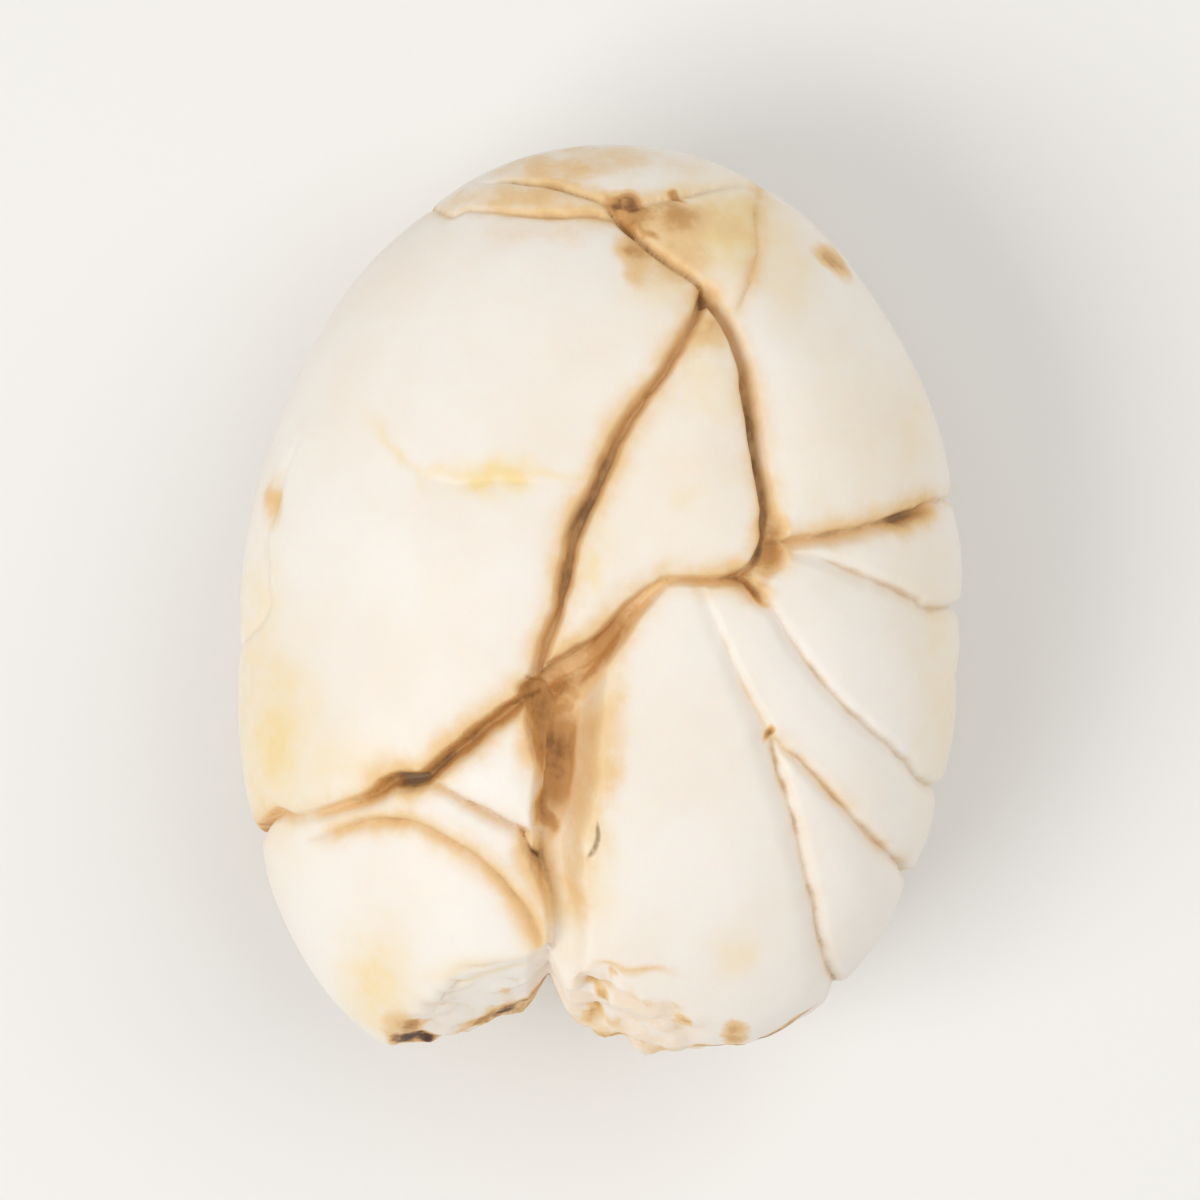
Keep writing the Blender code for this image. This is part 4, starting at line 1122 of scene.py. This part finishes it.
@dataclass(frozen=True)
class SeedFlesh:
    """The finish of the peeled flesh: waxy cream, amber to brown in the folds.

    Browning turns the flesh amber, then tan, then brown, each over its own range of strength.
    Deepest is the depth in millimetres at which a fold's floor is brown by itself. The halo
    beside the folds adds painted shade with a warm tint, and a dark line of painted shade runs
    along the folds' floors.
    """

    white: tuple[float, float, float] = (0.91, 0.86, 0.80)
    cream: tuple[float, float, float] = (0.87, 0.78, 0.665)
    ochre: tuple[float, float, float] = (0.90, 0.70, 0.34)
    crumb: tuple[float, float, float] = (0.91, 0.74, 0.57)
    amber: tuple[float, float, float] = (0.83, 0.58, 0.30)
    tan: tuple[float, float, float] = (0.60, 0.32, 0.11)
    brown: tuple[float, float, float] = (0.26, 0.11, 0.034)
    # The colour of the painted shade along the folds' floors.
    crease_shade_colour: tuple[float, float, float] = (0.36, 0.24, 0.14)
    bark: tuple[float, float, float] = (0.04, 0.02, 0.014)
    amber_range: tuple[float, float] = (0.08, 0.4)
    tan_range: tuple[float, float] = (0.36, 0.68)
    brown_range: tuple[float, float] = (0.68, 1.02)
    deepest: float = 1.408
    cloud_size: float = 0.0045
    mottle_size: float = 0.0011
    grain_size: float = 0.00028
    streak_size: float = 0.0006
    roughness: float = 0.5
    bump: float = 0.4
    bump_height: float = 0.00006

    def flesh(self, graph: ShaderGraph, ochre: Wire, torn: Wire, shade_and_tint_halo: Wire, mottle: Wire,
              blotch: Wire) -> Wire:
        """Mixes the pale flesh, its yellow stains and the torn tissue.

        Args:
            graph: the material's nodes.
            ochre: the strength of the yellow patches, staining and some painted shade.
            torn: how crumbly the torn tissue is.
            shade_and_tint_halo: painted shade with a warm tint beside the folds.
            mottle: noise of the blotches' size.
            blotch: the same with harder edges.

        Returns:
            The colour of the flesh before it browns.
        """
        cloud = graph.noise(self.cloud_size, 3.0, 0.55)
        flesh = graph.mix(cloud.eased(0.35, 0.75) * 0.6, self.white, self.cream)
        # Painted shade with a warm tint beside the folds turns the flesh cream there.
        flesh = graph.mix(shade_and_tint_halo.eased(0.02, 0.5) * 0.6, flesh, self.cream)
        flesh = graph.mix((ochre * (0.75 + 0.5 * blotch)).clamped() * 0.95, flesh, self.ochre)
        crumb = graph.mix(mottle.eased(0.42, 0.6) * 0.75, self.crumb, self.white)
        return graph.mix(torn * 0.85, flesh, crumb)

    def material(self) -> bpy.types.Material:
        """Builds the material.

        Returns:
            The finish, which reads the seed's attributes and its Object coordinates.
        """
        graph = ShaderGraph("seed_flesh_finish")
        depth, seam, edge = graph.attribute("folds")
        ochre, tan, brown = graph.attribute("patch_tints")
        torn, scab, shade_and_tint_halo = graph.attribute("faces")
        mottle = graph.noise(self.mottle_size, 4.0, 0.6)
        grain = graph.noise(self.grain_size, 3.0, 0.6)
        blotch = (mottle * 0.82 + grain * 0.18).eased(0.36, 0.64)
        colour = self.flesh(graph, ochre, torn, shade_and_tint_halo, mottle, blotch)
        folded = edge * (0.75 + 0.35 * blotch)
        browning = folded.larger(tan * (0.5 + 0.22 * blotch))
        browning = browning.larger(brown * (0.7 + 0.4 * blotch))
        browning = browning.larger((depth * (1.0 / self.deepest)) ** 6.0 * (0.7 + 0.2 * blotch))
        browning = browning.larger(scab * (0.45 + 0.7 * blotch))
        # The halo beside the folds browns the flesh: painted shade with a warm tint.
        browning = browning.larger(shade_and_tint_halo * (0.8 + 0.35 * blotch))
        colour = graph.mix(browning.eased(*self.amber_range), colour, self.amber)
        colour = graph.mix(browning.eased(*self.tan_range), colour, self.tan)
        colour = graph.mix(browning.eased(*self.brown_range), colour, self.brown)
        # Painted shade: a dark line along the folds' floors.
        painted_crease_shade = (seam * (0.55 + 0.6 * blotch)).eased(0.2, 0.85) * 0.85
        colour = graph.mix(painted_crease_shade, colour, self.crease_shade_colour)
        blackened = (scab * (0.4 + mottle)).eased(0.7, 1.0) * 0.9
        colour = graph.mix(blackened, colour, self.bark)
        streaks = graph.noise(self.streak_size, 2.0, 0.5, (1.0, 0.25, 1.0))
        height = mottle * 0.5 + grain * (0.35 + torn) + streaks * 0.4
        bump = graph.add("ShaderNodeBump", {}, {
            "Strength": self.bump, "Distance": self.bump_height, "Height": height})
        shine = self.roughness + 0.18 * (mottle - 0.5) + 0.2 * folded + 0.25 * torn
        graph.dress({
            "Base Color": colour, "Roughness": shine.clamped(), "Normal": bump, "IOR": 1.45,
            "Subsurface Weight": 0.22, "Subsurface Radius": (1.0, 0.55, 0.3),
            "Subsurface Scale": 0.0008})
        return graph.material


@dataclass(frozen=True)
class Kernel:
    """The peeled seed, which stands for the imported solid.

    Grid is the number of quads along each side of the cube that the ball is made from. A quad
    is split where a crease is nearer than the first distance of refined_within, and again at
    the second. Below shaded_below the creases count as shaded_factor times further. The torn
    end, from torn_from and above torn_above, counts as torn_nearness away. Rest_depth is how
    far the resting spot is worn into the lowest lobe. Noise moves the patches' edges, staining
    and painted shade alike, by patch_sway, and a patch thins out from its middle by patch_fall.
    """

    node: str = "seed"
    slot: str = "seed_flesh"
    grid: int = 60
    refined_within: tuple[float, ...] = (0.85, 0.38)
    shaded_below: float = -2.0
    shaded_factor: float = 2.2
    torn_from: float = -10.6
    torn_above: float = -3.0
    torn_nearness: float = 0.5
    rest_depth: float = 0.14
    patch_sway: float = 0.35
    patch_sway_size: float = 0.8
    patch_fall: float = 0.7
    body: OvalBody = OvalBody()
    lobes: FoldedLobes = FoldedLobes()
    torn_end: TornEnd = TornEnd()
    finish: SeedFlesh = SeedFlesh()

    def patch_shares(self, points: Array) -> Array:
        """Works out how strongly each patch colour tints the seed, in staining and in painted
        shade.

        Args:
            points: places on the body.

        Returns:
            A row for each point, with a strength for each patch colour.
        """
        shares = np.zeros((len(points), len(PatchColour)))
        swayed = wandering(points, self.patch_sway_size, NoiseLayer.PATCH_EDGES)
        swayed = points + self.patch_sway * swayed
        for patch in STAINS_AND_SHADE:
            offset = swayed - self.body.place(patch.centre)
            turn = math.radians(patch.turn)
            along = offset[:, 0] * math.cos(turn) + offset[:, 1] * math.sin(turn)
            across = offset[:, 1] * math.cos(turn) - offset[:, 0] * math.sin(turn)
            square = (along / patch.radii[0]) ** 2 + (across / patch.radii[1]) ** 2
            square += (offset[:, 2] / (2.0 * max(patch.radii))) ** 2
            share = patch.strength * np.exp(-self.patch_fall * square)
            column = patch.kind.value
            shares[:, column] = np.maximum(shares[:, column], share)
        return shares

    def refined_ball(self) -> bmesh.types.BMesh:
        """Makes the ball that the seed is sculpted from.

        Returns:
            A ball of quads, finer where the creases and the torn end will be.
        """
        mesh = bmesh.new()
        bmesh.ops.create_cube(mesh, size=2.0)
        bmesh.ops.subdivide_edges(mesh, edges=mesh.edges[:], cuts=self.grid - 1, use_grid_fill=True)
        cube = np.array([vertex.co for vertex in mesh.verts])
        for vertex, direction in zip(mesh.verts, unit(np.tan(cube * math.pi / 4))):
            vertex.co = direction
        for within in self.refined_within:
            directions = unit(np.array([vertex.co for vertex in mesh.verts]))
            points, normals = self.body.surface(directions)
            away = self.lobes.nearness(self.body, points, normals)
            away = np.where(points[:, 2] < self.shaded_below, self.shaded_factor * away, away)
            torn = (points[:, 1] < self.torn_from) & (points[:, 2] > self.torn_above)
            close = np.where(torn, np.minimum(away, self.torn_nearness), away) < within
            mesh.verts.index_update()
            edges = [edge for edge in mesh.edges if any(close[v.index] for v in edge.verts)]
            bmesh.ops.subdivide_edges(mesh, edges=edges, cuts=1, use_grid_fill=True)
        LOG.info("%d corners", len(mesh.verts))
        return mesh

    def sculpted(self) -> bmesh.types.BMesh:
        """Sculpts the seed's skin.

        Returns:
            The closed skin in millimetres, with its marks in vertex attributes.
        """
        mesh = self.refined_ball()
        points, normals = self.body.surface(unit(np.array([vertex.co for vertex in mesh.verts])))
        patch_tints = self.patch_shares(points)
        heights, marks = self.lobes.relief(self.body, points, normals)
        points = points + normals * heights[:, None]
        torn, scab = self.torn_end.cut_back(points)
        self.write_layer(mesh, "folds", np.stack([marks.depth, marks.seam, marks.edge], axis=1))
        self.write_layer(mesh, "patch_tints", patch_tints)
        self.write_layer(mesh, "faces", np.stack([torn, scab, marks.shade_and_tint_halo], axis=1))
        for vertex, point in zip(mesh.verts, points):
            vertex.co = point
        return mesh

    @staticmethod
    def write_layer(mesh: bmesh.types.BMesh, name: str, values: Array) -> None:
        """Keeps a vector at each vertex.

        Args:
            mesh: the mesh that takes them.
            name: the attribute's name.
            values: a row for each vertex.
        """
        layer = mesh.verts.layers.float_vector.new(name)
        for vertex, value in zip(mesh.verts, values):
            vertex[layer] = value

    def settle(self, mesh: bmesh.types.BMesh) -> None:
        """Cuts the resting spot and sets the seed where the solid is, in metres.

        Args:
            mesh: the seed's skin in millimetres, which is moved and scaled.
        """
        floor = min(vertex.co.z for vertex in mesh.verts) + self.rest_depth
        cut = bmesh.ops.bisect_plane(
            mesh, geom=mesh.verts[:] + mesh.edges[:] + mesh.faces[:], dist=1e-5,
            plane_co=(0.0, 0.0, floor), plane_no=(0.0, 0.0, -1.0), clear_outer=True)
        rim = [item for item in cut["geom_cut"] if isinstance(item, bmesh.types.BMEdge)]
        bmesh.ops.edgenet_fill(mesh, edges=rim)
        corners = np.array([vertex.co for vertex in mesh.verts])
        middle = 0.5 * (corners.min(axis=0) + corners.max(axis=0))
        low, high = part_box(self.node)
        bmesh.ops.translate(mesh, verts=mesh.verts[:], vec=(-middle[0], -middle[1], -floor))
        bmesh.ops.scale(mesh, verts=mesh.verts[:], vec=(MM, MM, MM))
        home = (0.5 * (low.x + high.x), 0.5 * (low.y + high.y), low.z)
        bmesh.ops.translate(mesh, verts=mesh.verts[:], vec=home)
        bmesh.ops.recalc_face_normals(mesh, faces=mesh.faces[:])

    def build(self) -> bpy.types.Object:
        """Makes the seed and sets it in place of its solid.

        Returns:
            The finished piece.
        """
        mesh = self.sculpted()
        self.settle(mesh)
        data = bpy.data.meshes.new("peeled_seed")
        mesh.to_mesh(data)
        mesh.free()
        data.shade_smooth()
        data.materials.append(self.finish.material())
        seed = bpy.data.objects.new("peeled_seed", data)
        bpy.context.scene.collection.objects.link(seed)
        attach(seed, "root")
        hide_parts(self.node)
        return seed


@dataclass(frozen=True)
class Softbox:
    """A square studio light, placed by its angles and distance from what it lights."""

    name: str
    azimuth: float
    elevation: float
    distance: float
    size: float
    power: float
    colour: tuple[float, float, float]

    def build(self, target: Vector) -> None:
        """Hangs the light and points it at the target.

        Args:
            target: the place that it lights.
        """
        data = bpy.data.lights.new(self.name, "AREA")
        data.shape = "SQUARE"
        data.size = self.size
        data.energy = self.power
        data.color = self.colour
        azimuth, elevation = math.radians(self.azimuth), math.radians(self.elevation)
        away = Vector((math.cos(elevation) * math.cos(azimuth),
                       math.cos(elevation) * math.sin(azimuth), math.sin(elevation)))
        light = bpy.data.objects.new(self.name, data)
        light.location = target + away * self.distance
        light.rotation_euler = (-away).to_track_quat("-Z", "Y").to_euler()
        bpy.context.scene.collection.objects.link(light)


@dataclass(frozen=True)
class Studio:
    """Pale floor, soft light and the camera above the seed.

    The lens is worked out so that framed_width fills the picture at the target's distance.
    """

    floor_size: float = 3.0
    floor_colour: tuple[float, float, float, float] = (0.86, 0.855, 0.84, 1.0)
    floor_roughness: float = 0.8
    ambient: float = 0.56
    ambient_colour: tuple[float, float, float, float] = (1.0, 0.99, 0.975, 1.0)
    target: tuple[float, float, float] = (0.0, 0.0, 0.006)
    camera_distance: float = 0.34
    camera_elevation: float = 89.6
    framed_width: float = 0.0375
    sensor: float = 36.0
    lights: tuple[Softbox, ...] = (
        Softbox("key", 208.0, 50.0, 0.5, 0.28, 1.05, (1.0, 0.985, 0.965)),
        Softbox("fill", 30.0, 58.0, 0.6, 0.5, 0.95, (1.0, 0.98, 0.95)),
    )

    def build_floor(self) -> None:
        """Lays the floor under the seed."""
        mesh = bmesh.new()
        bmesh.ops.create_grid(mesh, x_segments=1, y_segments=1, size=0.5 * self.floor_size)
        data = bpy.data.meshes.new("floor")
        mesh.to_mesh(data)
        mesh.free()
        graph = ShaderGraph("floor_finish")
        graph.dress({"Base Color": self.floor_colour, "Roughness": self.floor_roughness})
        data.materials.append(graph.material)
        floor = bpy.data.objects.new("floor", data)
        bpy.context.scene.collection.objects.link(floor)

    def build_world(self) -> None:
        """Gives the room an even light."""
        world = bpy.data.worlds.new("studio")
        world.use_nodes = True
        background = world.node_tree.nodes["Background"]
        background.inputs["Color"].default_value = self.ambient_colour
        background.inputs["Strength"].default_value = self.ambient
        bpy.context.scene.world = world

    def build_camera(self) -> None:
        """Sets the camera almost straight above, as the photo was taken."""
        data = bpy.data.cameras.new("camera")
        data.sensor_width = self.sensor
        data.lens = self.sensor * self.camera_distance / self.framed_width
        data.clip_start = 0.01
        camera = bpy.data.objects.new("camera", data)
        elevation = math.radians(self.camera_elevation)
        away = Vector((0.0, -math.cos(elevation), math.sin(elevation)))
        camera.location = Vector(self.target) + away * self.camera_distance
        camera.rotation_euler = (-away).to_track_quat("-Z", "Y").to_euler()
        bpy.context.scene.collection.objects.link(camera)
        bpy.context.scene.camera = camera

    def build(self) -> None:
        """Sets the whole studio up."""
        self.build_floor()
        self.build_world()
        self.build_camera()
        for light in self.lights:
            light.build(Vector(self.target))
        bpy.context.scene.view_settings.view_transform = "Standard"


def main() -> None:
    """Builds the seed and the studio in order."""
    logging.basicConfig(level=logging.INFO, format="%(name)s: %(message)s")
    seed = Kernel().build()
    LOG.info("%s: %d vertices", seed.name, len(seed.data.vertices))
    Studio().build()
    LOG.info("studio ready")


if __name__ == "__main__":
    main()
